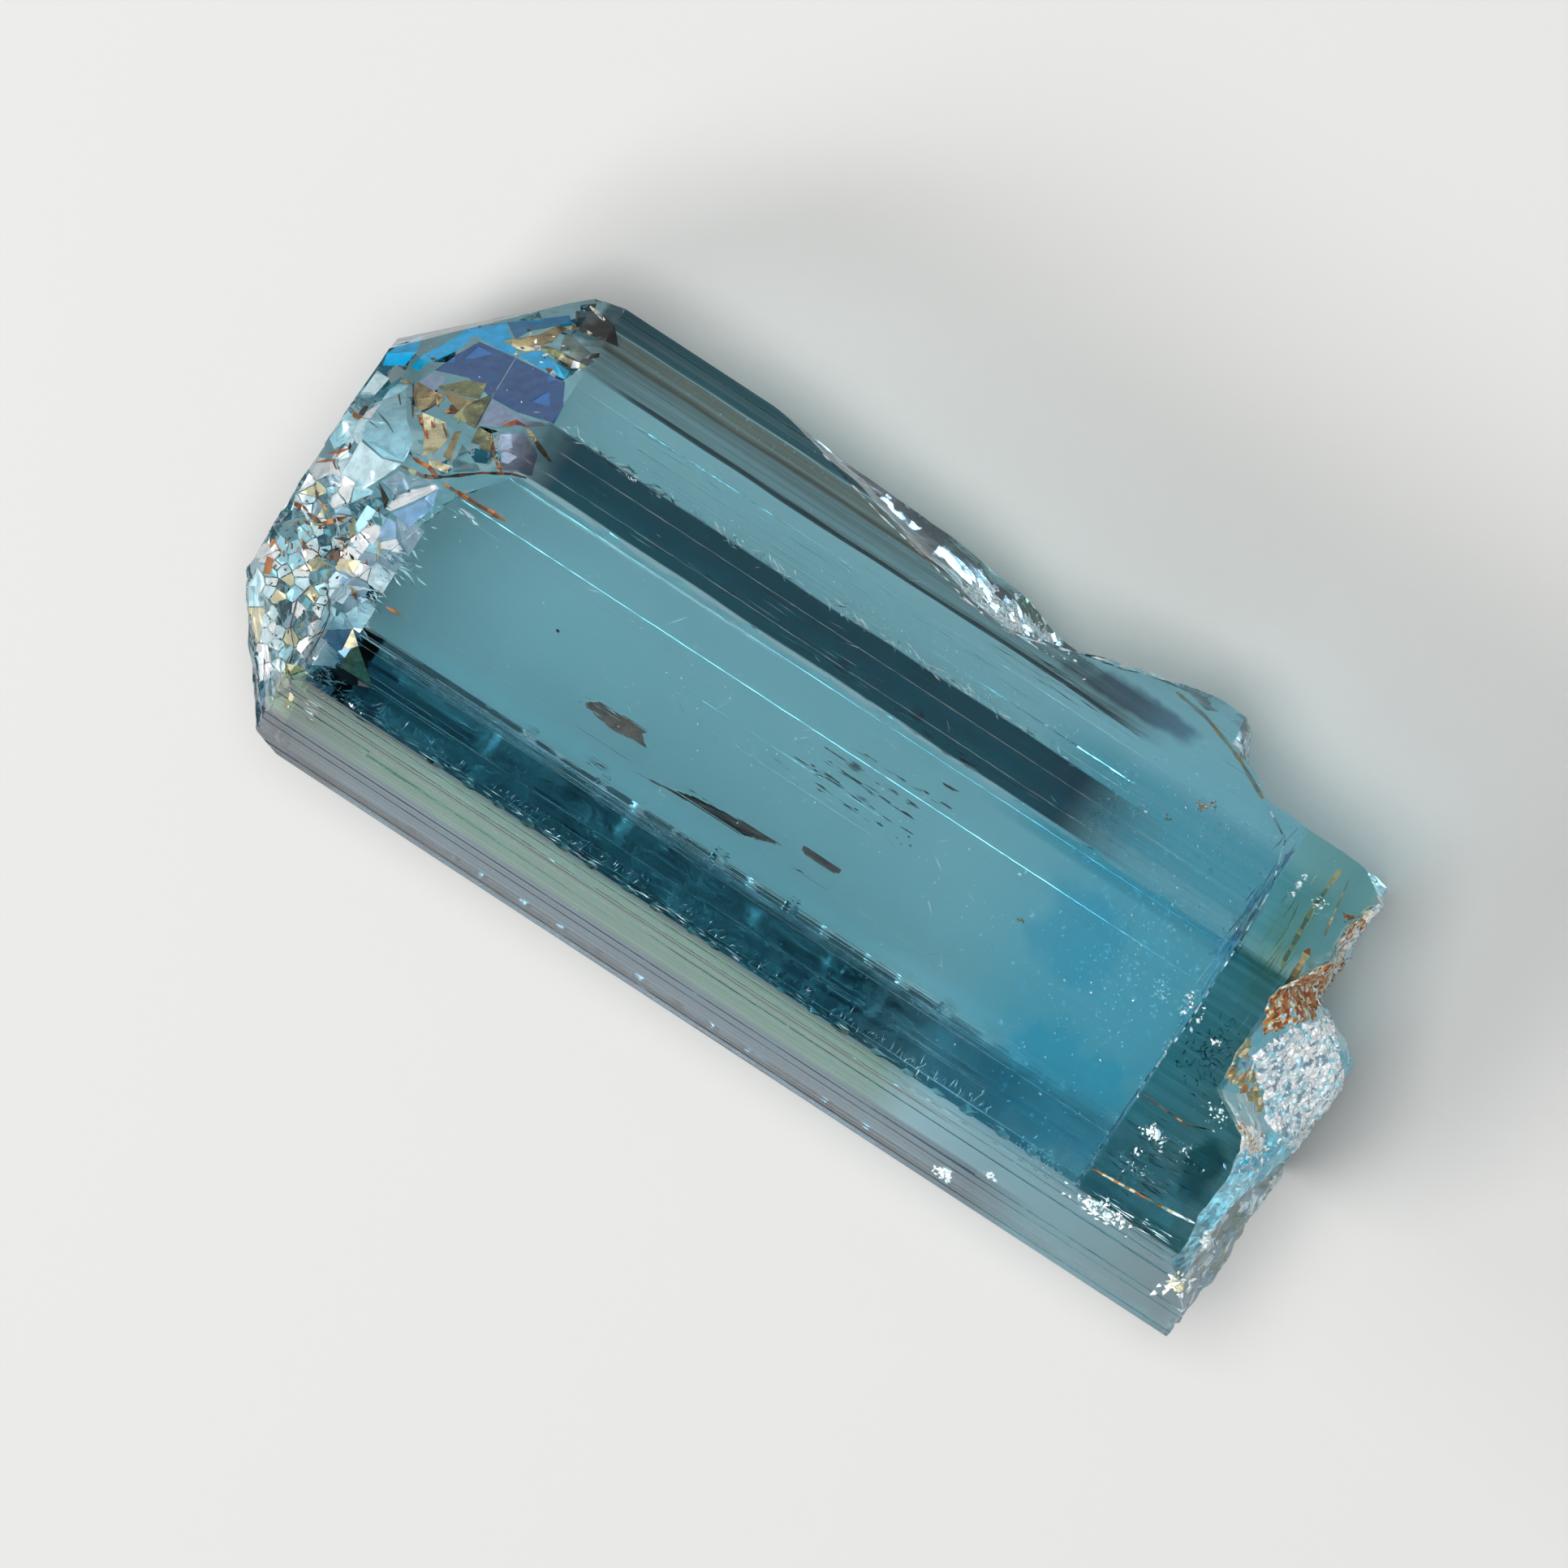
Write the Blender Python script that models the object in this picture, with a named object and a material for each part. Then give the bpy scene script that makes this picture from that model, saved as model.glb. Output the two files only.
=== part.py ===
"""Aquamarine crystal, a loose natural crystal lying on one of its prism faces.

Frame: metres, +Z up. The long (c) axis runs along X, with the bevelled flat end at -X and
the broken base at +X. The crystal lies on the plane z = 0 on a prism face, and the opposite
prism face looks straight up. The prism edge that is chipped and broken away points to +Y.

The cross-section is a hexagon. Its corners are numbered from the +Y corner towards +Z, and
face k runs from corner k to corner k + 1, so face 0 is the upper +Y face, face 1 the top,
face 2 the upper -Y face and face 4 the one it lies on.
"""

import math
import random

import bmesh
import bpy
from mathutils import Matrix, Vector, noise

MM = 0.001

# Driving dimensions
LENGTH = 20.0 * MM
PRISM_SIDE = 4.86 * MM
APOTHEM = PRISM_SIDE * math.sqrt(3) / 2
FLAT_END = -LENGTH / 2
BASE_END = LENGTH / 2
AXIS_HEIGHT = APOTHEM
SPARE_LENGTH = 0.6 * MM

# Growth ledges along the prism, for each face: how many, and the deepest step
LEDGE_COUNTS = (15, 11, 14, 12, 6, 12)
LEDGE_DEPTH = 0.014 * MM
LEDGE_RISER = 0.012 * MM
LYING_FACE = 4
LYING_FLAT = (0.16, 0.84)

# Each face is gently rounded to its edges: fraction of the width, and how far it falls in
FACE_ROUNDING = (
    ((0.0, 0.045), (0.14, 0.028), (0.38, 0.008), (0.67, 0.0), (0.70, 0.008), (1.0, 0.026)),
    ((0.0, 0.026), (0.06, 0.006), (0.14, 0.0), (0.86, 0.0), (0.95, 0.008), (1.0, 0.022)),
    ((0.0, 0.022), (0.12, 0.0), (0.42, 0.006), (0.66, 0.016), (0.84, 0.030), (1.0, 0.045)),
    ((0.0, 0.045), (0.20, 0.014), (0.60, 0.0), (0.90, 0.010), (1.0, 0.030)),
    ((0.0, 0.030), (0.08, 0.006), (0.12, 0.0), (0.88, 0.0), (0.92, 0.006), (1.0, 0.030)),
    ((0.0, 0.030), (0.10, 0.010), (0.45, 0.0), (0.80, 0.018), (1.0, 0.045)),
)

# Growth terraces that fade out along a face: face, where the step stands and where it fades
# out from the flat end, the band of the face's width, and the step's height
TERRACES = (
    (1, 11.2, 3.4, 0.30, 0.37, 0.030),
    (1, 6.0, 15.8, 0.885, 0.93, 0.035),
    (0, 4.4, 15.0, 0.47, 0.56, 0.030),
    (0, 14.2, 6.2, 0.60, 0.655, 0.040),
    (0, 13.0, 3.6, 0.22, 0.30, 0.035),
    (2, 3.4, 14.6, 0.30, 0.38, 0.040),
    (2, 15.6, 5.0, 0.52, 0.60, 0.035),
)
TERRACE_FADE = -0.02 * MM
TERRACE_CLEARANCE = 0.3 * MM

# Bevels of the flat end: azimuth from +Y towards +Z, slope from the flat end, and how far
# along the crystal the bevel reaches, measured on a prism edge or in a prism face's middle
END_BEVELS = (
    (0, 44.0, 2.62, "edge"),
    (0, 64.0, 2.96, "edge"),
    (30, 54.0, 2.98, "face"),
    (62, 60.0, 3.06, "edge"),
    (74, 49.0, 2.05, "face"),
    (97, 36.0, 1.56, "face"),
    (150, 40.0, 1.58, "face"),
    (180, 38.0, 1.86, "edge"),
    (180, 60.0, 2.16, "edge"),
    (178, 15.0, 0.70, "edge"),
    (212, 46.0, 1.90, "face"),
    (240, 45.0, 2.20, "edge"),
    (272, 40.0, 1.70, "face"),
    (300, 48.0, 2.50, "edge"),
    (330, 50.0, 2.45, "face"),
)

# The broken +Y edge. Distance from the flat end, width of the break on the upper face,
# width on the lower face, both measured from the edge, and how hollow the break is.
BROKEN_EDGE = (
    (5.00, -0.10, -0.10, 0.00),
    (6.00, 0.10, 0.14, 0.00),
    (7.60, 0.52, 0.56, 0.03),
    (9.40, 1.10, 0.74, 0.10),
    (10.95, 1.51, 1.30, 0.20),
    (12.05, 1.10, 2.30, 0.42),
    (12.95, 0.66, 2.45, 0.46),
    (13.60, 0.38, 1.30, 0.26),
    (14.15, 0.34, 0.42, 0.10),
    (14.75, 0.62, 0.06, 0.02),
    (15.28, 0.80, 0.16, 0.00),
    (15.52, 0.92, 1.00, 0.02),
    (15.68, 1.05, 2.70, 0.10),
    (16.30, 1.53, 3.60, 0.16),
    (18.10, 1.52, 3.70, 0.10),
    (18.75, 2.15, 3.90, 0.00),
    (19.10, 3.30, 4.20, 0.00),
    (20.60, 4.20, 4.50, 0.00),
)
BREAK_STEP = 0.20 * MM
BREAK_POINTS_ACROSS = 9
BREAK_OVERSHOOT = 0.55 * MM
BREAK_ROUGHNESS = 0.045 * MM

# The parting step near the base: the top and upper +Y faces are lower beyond it
PARTING_STEP = FLAT_END + 17.02 * MM
PARTING_DEPTHS = ((0, 0.10 * MM), (1, 0.13 * MM))
PARTING_WAVES = 0.35
PARTING_ROWS = 12
PARTING_ROW_LENGTH = 0.42 * MM
PARTING_CLEARANCE = 1.5 * MM

# The broken base: how far it lies behind the tip in each region, and the regions' rims
BASE_CELL = 0.22 * MM
BASE_LUMP = 0.15 * MM
BASE_TIP_GAP = 0.21 * MM
SHOULDER_SETBACK = 1.04 * MM
SHOULDER_RIM = (0.9 * MM, 1.5 * MM)
SHOULDER_LEAN = 0.24
TOP_SETBACK = 0.85 * MM
TOP_FALL = (1.2 * MM, 4.2 * MM)
LOBE_SETBACK = 1.85 * MM
LOBE_RIMS = ((-0.35 * MM, 0.25 * MM), (2.0 * MM, 2.6 * MM))

# Etch pits of the flat end and its bevels, in layers that eat into each other: how many, and
# their smallest and largest size
PIT_LAYERS = ((11, 0.70 * MM, 1.05 * MM), (30, 0.34 * MM, 0.62 * MM), (64, 0.18 * MM, 0.38 * MM))
PIT_DEPTH_SHARE = 0.5
PIT_CROWDING = {"flat": 0.12, "bevel": 0.35, "etched": 1.0}
PIT_SEED = 31
PROUD = 0.35

# Chips along the sharp prism edges: edge number, how many, and their largest size
EDGE_CHIPS = ((1, 9, 0.16 * MM), (2, 20, 0.20 * MM), (4, 16, 0.26 * MM), (5, 18, 0.30 * MM))
CHIPS_START = FLAT_END + 4.2 * MM
CHIPS_SPAN = 12.2 * MM
CHIP_LENGTH_SHARE = 0.28
CHIP_SEED = 12

# The groove that splits the rounded -Y corner of the end: its middle and its size
GROOVE_MIDDLE = (FLAT_END + 1.02 * MM, -3.92 * MM, AXIS_HEIGHT - 0.1 * MM)
GROOVE_FACING = (-0.72, -0.69, 0.0)
GROOVE_STEPS = (-1.5 * MM, -0.2 * MM, 1.1 * MM)
GROOVE_SIZE = 0.42 * MM
GROOVE_DEPTH = 0.20 * MM

# Slivers narrower than this are closed up
WELD_WIDTH = 0.002 * MM

AQUAMARINE = (0.16, 0.46, 0.56, 1.0)


def clear_scene():
    for obj in list(bpy.data.objects):
        bpy.data.objects.remove(obj, do_unlink=True)


def corner(number):
    """A corner of the hexagon as (y, z) about the axis."""
    angle = math.radians(60 * number)
    return Vector((math.cos(angle), math.sin(angle))) * PRISM_SIDE


def radial(azimuth):
    """The unit direction across the axis at this azimuth, in degrees from +Y towards +Z."""
    angle = math.radians(azimuth)
    return Vector((0, math.cos(angle), math.sin(angle)))


def clamp01(value):
    return min(max(value, 0.0), 1.0)


def smooth_step(low, high, value):
    share = clamp01((value - low) / (high - low))
    return share * share * (3 - 2 * share)


def along(table, place):
    """The table's row at this place, straight between its neighbours. Column 0 is the place."""
    for low, high in zip(table, table[1:]):
        if place <= high[0]:
            share = max(0.0, (place - low[0]) / (high[0] - low[0]))
            return [a + (b - a) * share for a, b in zip(low[1:], high[1:])]
    return list(table[-1][1:])


def smooth_along(table, place):
    """The table's row at this place, on a smooth curve through its rows."""
    last = len(table) - 2
    at = next((i for i in range(last + 1) if place <= table[i + 1][0]), last)
    low, high = table[at], table[at + 1]
    share = clamp01((place - low[0]) / (high[0] - low[0]))
    blend = (share + smooth_step(0, 1, share)) / 2
    return [a + (b - a) * blend for a, b in zip(low[1:], high[1:])]


# The prism


def ledge_offsets(face, rng):
    """Points across a prism face as (fraction of its width, distance inwards)."""
    rounding = FACE_ROUNDING[face]
    points = {t: 0.0 for t, _ in rounding}
    places = sorted(rng.uniform(0.02, 0.98) for _ in range(LEDGE_COUNTS[face]))
    riser = LEDGE_RISER / PRISM_SIDE
    level = 0.0
    for place in places:
        flat = face == LYING_FACE and LYING_FLAT[0] < place < LYING_FLAT[1]
        if flat or any(abs(place - t) < 3 * riser for t in points):
            continue
        points[place] = level
        level = 0.0 if level else rng.uniform(0.25, 1.0) * LEDGE_DEPTH
        points[place + riser] = level
    profile, inwards = [], 0.0
    for t in sorted(points):
        inwards = points[t] if t not in dict(rounding) else inwards
        if face == LYING_FACE and LYING_FLAT[0] < t < LYING_FLAT[1]:
            inwards = 0.0
        profile.append((t, along(rounding, t)[0] * MM + inwards))
    return profile


def prism_profile():
    """The cross-section's ring of (y, z) points about the axis."""
    rng = random.Random(5)
    ring = []
    for face in range(6):
        start, end = corner(face), corner(face + 1)
        normal = radial(60 * face + 30).yz
        profile = ledge_offsets(face, rng)
        for t, inwards in profile[1:-1]:
            ring.append(start.lerp(end, t) - normal * inwards)
        edge_inset = profile[-1][1]
        ring.append(end * (1 - edge_inset / PRISM_SIDE))
    return ring


def make_prism():
    """The hexagonal prism, from the flat end to past the broken base."""
    bm = bmesh.new()
    ring = [bm.verts.new((FLAT_END, p.x, p.y + AXIS_HEIGHT)) for p in prism_profile()]
    flat_end = bm.faces.new(ring)
    grown = bmesh.ops.extrude_face_region(bm, geom=[flat_end])
    moved = [v for v in grown["geom"] if isinstance(v, bmesh.types.BMVert)]
    bmesh.ops.translate(bm, verts=moved, vec=(LENGTH + SPARE_LENGTH, 0, 0))
    bmesh.ops.recalc_face_normals(bm, faces=bm.faces)
    return bm


# The flat end


def bevel_plane(azimuth, slope, reach, measured_on):
    """A point on a bevel of the flat end, and its outward normal."""
    outwards = radial(azimuth)
    rise = math.tan(math.radians(slope))
    radius = PRISM_SIDE if measured_on == "edge" else APOTHEM
    starts_at = radius - reach * MM / rise
    point = Vector((FLAT_END, 0, AXIS_HEIGHT)) + outwards * starts_at
    normal = (outwards * rise - Vector((1, 0, 0))).normalized()
    return point, normal


def end_surface(y, z):
    """How far along X the bevelled end lies at this place across it, and its normal there."""
    here = Vector((0, y, z))
    best, facing = FLAT_END, Vector((-1, 0, 0))
    for bevel in END_BEVELS:
        point, normal = bevel_plane(*bevel)
        x = point.x - normal.dot(here - Vector((0, point.y, point.z))) / normal.x
        if x > best:
            best, facing = x, normal
    return best, facing


def cut_flat_end(bm):
    for bevel in END_BEVELS:
        point, normal = bevel_plane(*bevel)
        cut = bmesh.ops.bisect_plane(
            bm,
            geom=bm.verts[:] + bm.edges[:] + bm.faces[:],
            dist=1e-8,
            plane_co=point,
            plane_no=normal,
            clear_outer=True,
        )
        edges = [e for e in cut["geom_cut"] if isinstance(e, bmesh.types.BMEdge)]
        open_edges = [e for e in edges if e.is_valid and e.is_boundary]
        if open_edges:
            bmesh.ops.contextual_create(bm, geom=open_edges)
    bmesh.ops.recalc_face_normals(bm, faces=bm.faces)


# Cutters


def closed_loft(rings):
    """One closed body through rings of equal length, capped at both ends."""
    bm = bmesh.new()
    rows = [[bm.verts.new(p) for p in ring] for ring in rings]
    for low, high in zip(rows, rows[1:]):
        for i in range(len(low)):
            j = (i + 1) % len(low)
            bm.faces.new((low[i], low[j], high[j], high[i]))
    bm.faces.new(reversed(rows[0]))
    bm.faces.new(rows[-1])
    bmesh.ops.recalc_face_normals(bm, faces=bm.faces)
    return bm


def upper_edge_step(width):
    """The step from the +Y edge across the upper face, clear of the crystal if negative."""
    return Vector((-width * math.cos(math.pi / 3), abs(width) * math.sin(math.pi / 3)))


def hollow_dip(reach, width, hollow):
    """How deep a hollow of this width is at this reach, running on straight past its rims."""
    if 0 <= reach <= width:
        return 4 * hollow * (reach / width) * (1 - reach / width)
    past = -reach if reach < 0 else reach - width
    return -past * min(4 * hollow / width, 0.5)


def break_ring(x):
    """The cutter's section across the broken +Y edge at this place along the crystal."""
    upper, lower, hollow = (
        value * MM for value in smooth_along(BROKEN_EDGE, (x - FLAT_END) / MM)
    )
    start = corner(0) + upper_edge_step(upper)
    end = corner(0) + upper_edge_step(lower) * Vector((1, -1))
    chord = end - start
    across = chord.normalized()
    inwards = Vector((across.y, -across.x))
    ring = []
    for i in range(BREAK_POINTS_ACROSS):
        share = i / (BREAK_POINTS_ACROSS - 1)
        reach = -BREAK_OVERSHOOT + (chord.length + 2 * BREAK_OVERSHOOT) * share
        dip = hollow_dip(reach, chord.length, hollow)
        rough = noise.noise(Vector((x, reach, 0)) / (0.55 * MM)) * BREAK_ROUGHNESS
        rough *= clamp01(chord.length / (0.9 * MM))
        point = start + across * reach + inwards * (dip + rough)
        ring.append(Vector((x, point.x, point.y + AXIS_HEIGHT)))
    far = PRISM_SIDE + 2.2 * MM
    ring.append(Vector((x, far, ring[-1].z - 1.0 * MM)))
    ring.append(Vector((x, far, ring[0].z + 1.0 * MM)))
    return ring


def edge_break_cutter():
    first = FLAT_END + BROKEN_EDGE[0][0] * MM
    last = FLAT_END + BROKEN_EDGE[-1][0] * MM
    count = round((last - first) / BREAK_STEP)
    return closed_loft([break_ring(first + (last - first) * i / count) for i in range(count + 1)])


def base_surface(y, z):
    """How far along X the broken base lies at this place across it, z about the axis."""
    side = smooth_step(*SHOULDER_RIM, y - SHOULDER_LEAN * z)
    top = clamp01((z - TOP_FALL[0]) / (TOP_FALL[1] - TOP_FALL[0]))
    lobe = smooth_step(*LOBE_RIMS[0], y) * (1 - smooth_step(*LOBE_RIMS[1], y))
    setback = top * (TOP_SETBACK + lobe * (LOBE_SETBACK - TOP_SETBACK))
    setback += (SHOULDER_SETBACK - 0.4 * setback) * side
    place = Vector((y, z, 0)) / (1.5 * MM)
    lumps = noise.noise(place) + 0.5 * noise.noise(place * 2.3) + 0.3 * noise.noise(place * 5.1)
    ledge = noise.cell(place * 1.7 + Vector((4, 2, 0))) * 0.45
    return BASE_END - BASE_TIP_GAP - setback + (lumps + ledge) * BASE_LUMP


def base_cutter():
    """A block past the base whose near side is the broken surface."""
    half = 5.3 * MM
    count = round(2 * half / BASE_CELL)
    places = [-half + 2 * half * i / count for i in range(count + 1)]
    bm = bmesh.new()
    near = [
        [bm.verts.new((base_surface(y, z), y, z + AXIS_HEIGHT)) for z in places] for y in places
    ]
    for i in range(count):
        for j in range(count):
            bm.faces.new((near[i][j], near[i + 1][j], near[i + 1][j + 1], near[i][j + 1]))
    far_x = BASE_END + 2.5 * MM
    ends = [
        bm.verts.new((far_x, y, z + AXIS_HEIGHT))
        for y, z in ((-half, -half), (half, -half), (half, half), (-half, half))
    ]
    bm.faces.new([row[0] for row in near] + [ends[1], ends[0]])
    bm.faces.new(near[-1] + [ends[2], ends[1]])
    bm.faces.new([row[-1] for row in reversed(near)] + [ends[3], ends[2]])
    bm.faces.new(list(reversed(near[0])) + [ends[0], ends[3]])
    bm.faces.new(ends)
    bmesh.ops.recalc_face_normals(bm, faces=bm.faces)
    return bm


def parting_cutter(face, depth):
    """A thin block that lowers one prism face from the parting step to the base."""
    start, end = corner(face), corner(face + 1)
    out = radial(60 * face + 30)
    across = Vector((0, *(end - start).normalized()))
    middle = Vector((0, *((start + end) / 2))) + Vector((0, 0, AXIS_HEIGHT))
    half = across * PRISM_SIDE * 0.65
    rings = []
    for row in range(PARTING_ROWS):
        here = middle + Vector((PARTING_STEP + row * PARTING_ROW_LENGTH, 0, 0))
        sink = depth * (1 + PARTING_WAVES * noise.noise(Vector((row * 0.7, face, 1.5))))
        low, high = here - out * sink, here + out * PARTING_CLEARANCE
        rings.append([low - half, low + half, high + half, high - half])
    return closed_loft(rings)


def terrace_cutter(face, step, fade, low, high, depth):
    """A thin wedge along a face: full depth where the step stands, none where it fades out."""
    start, end = corner(face), corner(face + 1)
    out = radial(60 * face + 30)
    proud = out * TERRACE_CLEARANCE
    rings = []
    for place, sink in ((step, depth * MM), (fade, TERRACE_FADE)):
        middle = Vector((FLAT_END + place * MM, 0, AXIS_HEIGHT))
        near, far = (middle + Vector((0, *start.lerp(end, t))) for t in (low, high))
        rings.append([near - out * sink, far - out * sink, far + proud, near + proud])
    return closed_loft(rings)


def spike(bm, point, normal, size, depth, sides, spin):
    """A pyramid that points into the surface, its base standing proud of it."""
    turn = normal.to_track_quat("Z", "Y").to_matrix().to_4x4()
    place = Matrix.Translation(point) @ turn @ Matrix.Rotation(spin, 4, "Z")
    ring = []
    for i in range(sides):
        angle = 2 * math.pi * i / sides
        radius = size * (1 + PROUD) * (1.0 if i % 2 else 0.72)
        local = Vector((math.cos(angle) * radius, math.sin(angle) * radius * 0.7, depth * PROUD))
        ring.append(bm.verts.new(place @ local))
    tip = bm.verts.new(place @ Vector((size * 0.25, size * 0.1, -depth)))
    bm.faces.new(ring)
    for i in range(sides):
        bm.faces.new((ring[(i + 1) % sides], ring[i], tip))


def pit_place(rng):
    """A random place on the flat end's bevels, thickest between the top and the -Y edge."""
    while True:
        across = Vector((rng.uniform(-1, 1), rng.uniform(-1, 1))) * PRISM_SIDE
        if max(across.dot(radial(60 * k + 30).yz) for k in range(6)) > 0.97 * APOTHEM:
            continue
        x, normal = end_surface(across.x, across.y + AXIS_HEIGHT)
        etched = smooth_step(0.35, -0.15, (across.x - 0.5 * across.y) / PRISM_SIDE)
        on_bevel = PIT_CROWDING["bevel"] + (PIT_CROWDING["etched"] - PIT_CROWDING["bevel"]) * etched
        if rng.random() < (PIT_CROWDING["flat"] if normal.x < -0.999 else on_bevel):
            return Vector((x, across.x, across.y + AXIS_HEIGHT)), normal


def pit_cutter(seed, count, smallest, largest):
    """One layer of etch pits that keep clear of each other."""
    rng = random.Random(seed)
    bm = bmesh.new()
    made = []
    while len(made) < count:
        point, normal = pit_place(rng)
        size = rng.uniform(smallest, largest)
        reach = size * (1 + PROUD)
        if any((point - other).length < 1.05 * (reach + taken) for other, taken in made):
            continue
        made.append((point, reach))
        depth = size * PIT_DEPTH_SHARE * rng.uniform(0.6, 1.5)
        spike(bm, point, normal, size, depth, rng.choice((3, 3, 4, 6)), rng.uniform(0, 6.28))
    bmesh.ops.recalc_face_normals(bm, faces=bm.faces)
    return bm


def chip_cutter():
    """Small shell-shaped chips along the sharp prism edges."""
    rng = random.Random(CHIP_SEED)
    bm = bmesh.new()
    for number, count, largest in EDGE_CHIPS:
        edge = corner(number)
        out = Vector((0, edge.x, edge.y)).normalized()
        for i in range(count):
            x = CHIPS_START + CHIPS_SPAN * (i + rng.uniform(0.35, 0.65)) / count
            size = largest * rng.uniform(0.45, 1.0)
            half_length = CHIP_LENGTH_SHARE * CHIPS_SPAN / count * rng.uniform(0.8, 1.2)
            centre = Vector((x, edge.x, edge.y + AXIS_HEIGHT)) + out * size * rng.uniform(0.1, 0.3)
            turn = Matrix.Rotation(rng.uniform(-0.12, 0.12), 4, out)
            shape = Matrix.Diagonal((half_length, size, size, 1.0))
            bmesh.ops.create_icosphere(
                bm, subdivisions=1, radius=1.0, matrix=Matrix.Translation(centre) @ turn @ shape
            )
    return bm


def corner_groove_cutter():
    """The groove that cuts the rounded -Y corner of the end in two."""
    bm = bmesh.new()
    normal = Vector(GROOVE_FACING).normalized()
    for step in GROOVE_STEPS:
        point = Vector(GROOVE_MIDDLE) + Vector((0.05, 0.12, 1.0)) * step
        spike(bm, point, normal, GROOVE_SIZE, GROOVE_DEPTH, 4, math.radians(75))
    bmesh.ops.recalc_face_normals(bm, faces=bm.faces)
    return bm


def cut(obj, name, cutter_mesh):
    """Takes a closed mesh out of an object with an exact Boolean."""
    mesh = bpy.data.meshes.new(name)
    cutter_mesh.to_mesh(mesh)
    cutter_mesh.free()
    cutter = bpy.data.objects.new(name, mesh)
    bpy.context.scene.collection.objects.link(cutter)
    cutter.hide_render = True
    cutter.display_type = "WIRE"
    boolean = obj.modifiers.new(name, "BOOLEAN")
    boolean.operation = "DIFFERENCE"
    boolean.solver = "EXACT"
    boolean.object = cutter


def crystal_material():
    material = bpy.data.materials.new("aquamarine")
    material.use_nodes = True
    shader = material.node_tree.nodes["Principled BSDF"]
    shader.inputs["Base Color"].default_value = AQUAMARINE
    shader.inputs["Roughness"].default_value = 0.06
    shader.inputs["Metallic"].default_value = 0.0
    shader.inputs["IOR"].default_value = 1.577
    shader.inputs["Transmission Weight"].default_value = 0.9
    return material


def make_crystal():
    bm = make_prism()
    cut_flat_end(bm)
    mesh = bpy.data.meshes.new("crystal")
    bm.to_mesh(mesh)
    bm.free()
    crystal = bpy.data.objects.new("crystal", mesh)
    bpy.context.scene.collection.objects.link(crystal)
    crystal.data.materials.append(crystal_material())
    for face, depth in PARTING_DEPTHS:
        cut(crystal, f"parting_cutter_{face}", parting_cutter(face, depth))
    for number, terrace in enumerate(TERRACES):
        cut(crystal, f"terrace_cutter_{number}", terrace_cutter(*terrace))
    cut(crystal, "base_cutter", base_cutter())
    cut(crystal, "edge_break_cutter", edge_break_cutter())
    for layer, sizes in enumerate(PIT_LAYERS):
        cut(crystal, f"pit_cutter_{layer}", pit_cutter(PIT_SEED + layer, *sizes))
    cut(crystal, "corner_groove_cutter", corner_groove_cutter())
    cut(crystal, "chip_cutter", chip_cutter())
    weld = crystal.modifiers.new("weld", "WELD")
    weld.merge_threshold = WELD_WIDTH
    return crystal


clear_scene()
make_crystal()
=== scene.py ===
import math
import random

import bmesh
import bpy
from mathutils import Matrix, Vector, noise
from mathutils.bvhtree import BVHTree


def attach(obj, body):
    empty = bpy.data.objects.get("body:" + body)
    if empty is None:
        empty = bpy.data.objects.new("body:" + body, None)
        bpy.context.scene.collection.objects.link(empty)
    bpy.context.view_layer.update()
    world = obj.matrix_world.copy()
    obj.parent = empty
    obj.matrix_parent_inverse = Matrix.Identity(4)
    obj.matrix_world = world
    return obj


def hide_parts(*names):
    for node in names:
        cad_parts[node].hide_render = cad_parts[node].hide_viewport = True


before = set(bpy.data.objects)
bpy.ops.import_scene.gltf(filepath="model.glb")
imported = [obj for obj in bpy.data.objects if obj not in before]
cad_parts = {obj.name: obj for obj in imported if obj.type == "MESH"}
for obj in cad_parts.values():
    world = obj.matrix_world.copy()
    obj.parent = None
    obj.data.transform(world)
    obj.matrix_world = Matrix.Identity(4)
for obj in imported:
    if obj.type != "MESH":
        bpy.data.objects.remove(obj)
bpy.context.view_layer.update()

mm = 0.001
prismSide = 4.86 * mm
faceDistance = prismSide * math.sqrt(3) / 2   # from the axis to a prism face
axis = Vector((0, 0, faceDistance))
viewTilt = math.radians(13.6)                 # the camera leans this far towards +Y
viewUp = Vector((0, math.cos(viewTilt), -math.sin(viewTilt)))
viewBack = Vector((0, math.sin(viewTilt), math.cos(viewTilt)))

# Colours that stains, films and crusts are picked from
shades = {
    "white": (0.95, 0.98, 0.99), "frost": (0.70, 0.90, 0.95), "paleCyan": (0.42, 0.77, 0.88),
    "lightBlue": (0.26, 0.50, 0.74), "blueGrey": (0.28, 0.44, 0.54), "teal": (0.09, 0.27, 0.32),
    "darkTeal": (0.018, 0.07, 0.09), "cream": (0.74, 0.70, 0.46), "tan": (0.42, 0.34, 0.17),
    "olive": (0.28, 0.31, 0.15), "greenGrey": (0.25, 0.36, 0.33), "brown": (0.20, 0.065, 0.012),
    "orange": (0.56, 0.20, 0.03), "rust": (0.36, 0.075, 0.015), "soot": (0.010, 0.008, 0.006),
    "cyan": (0.0, 0.55, 0.95), "deepCyan": (0.0, 0.22, 0.44), "blueMauve": (0.015, 0.13, 0.38),
    "mauve": (0.36, 0.47, 0.66), "ink": (0.004, 0.010, 0.014), "umber": (0.09, 0.07, 0.055),
}


# Helpers for shapes


def outOf(azimuth):
    angle = math.radians(azimuth)
    return Vector((0, math.cos(angle), math.sin(angle)))


def clamp(value, least, most):
    return min(max(value, least), most)


def easeIn(low, high, value):
    share = clamp((value - low) / (high - low), 0.0, 1.0)
    return share * share * (3 - 2 * share)


def newPiece():
    bm = bmesh.new()
    bm.faces.layers.float_color.new("hue")
    return bm


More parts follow.
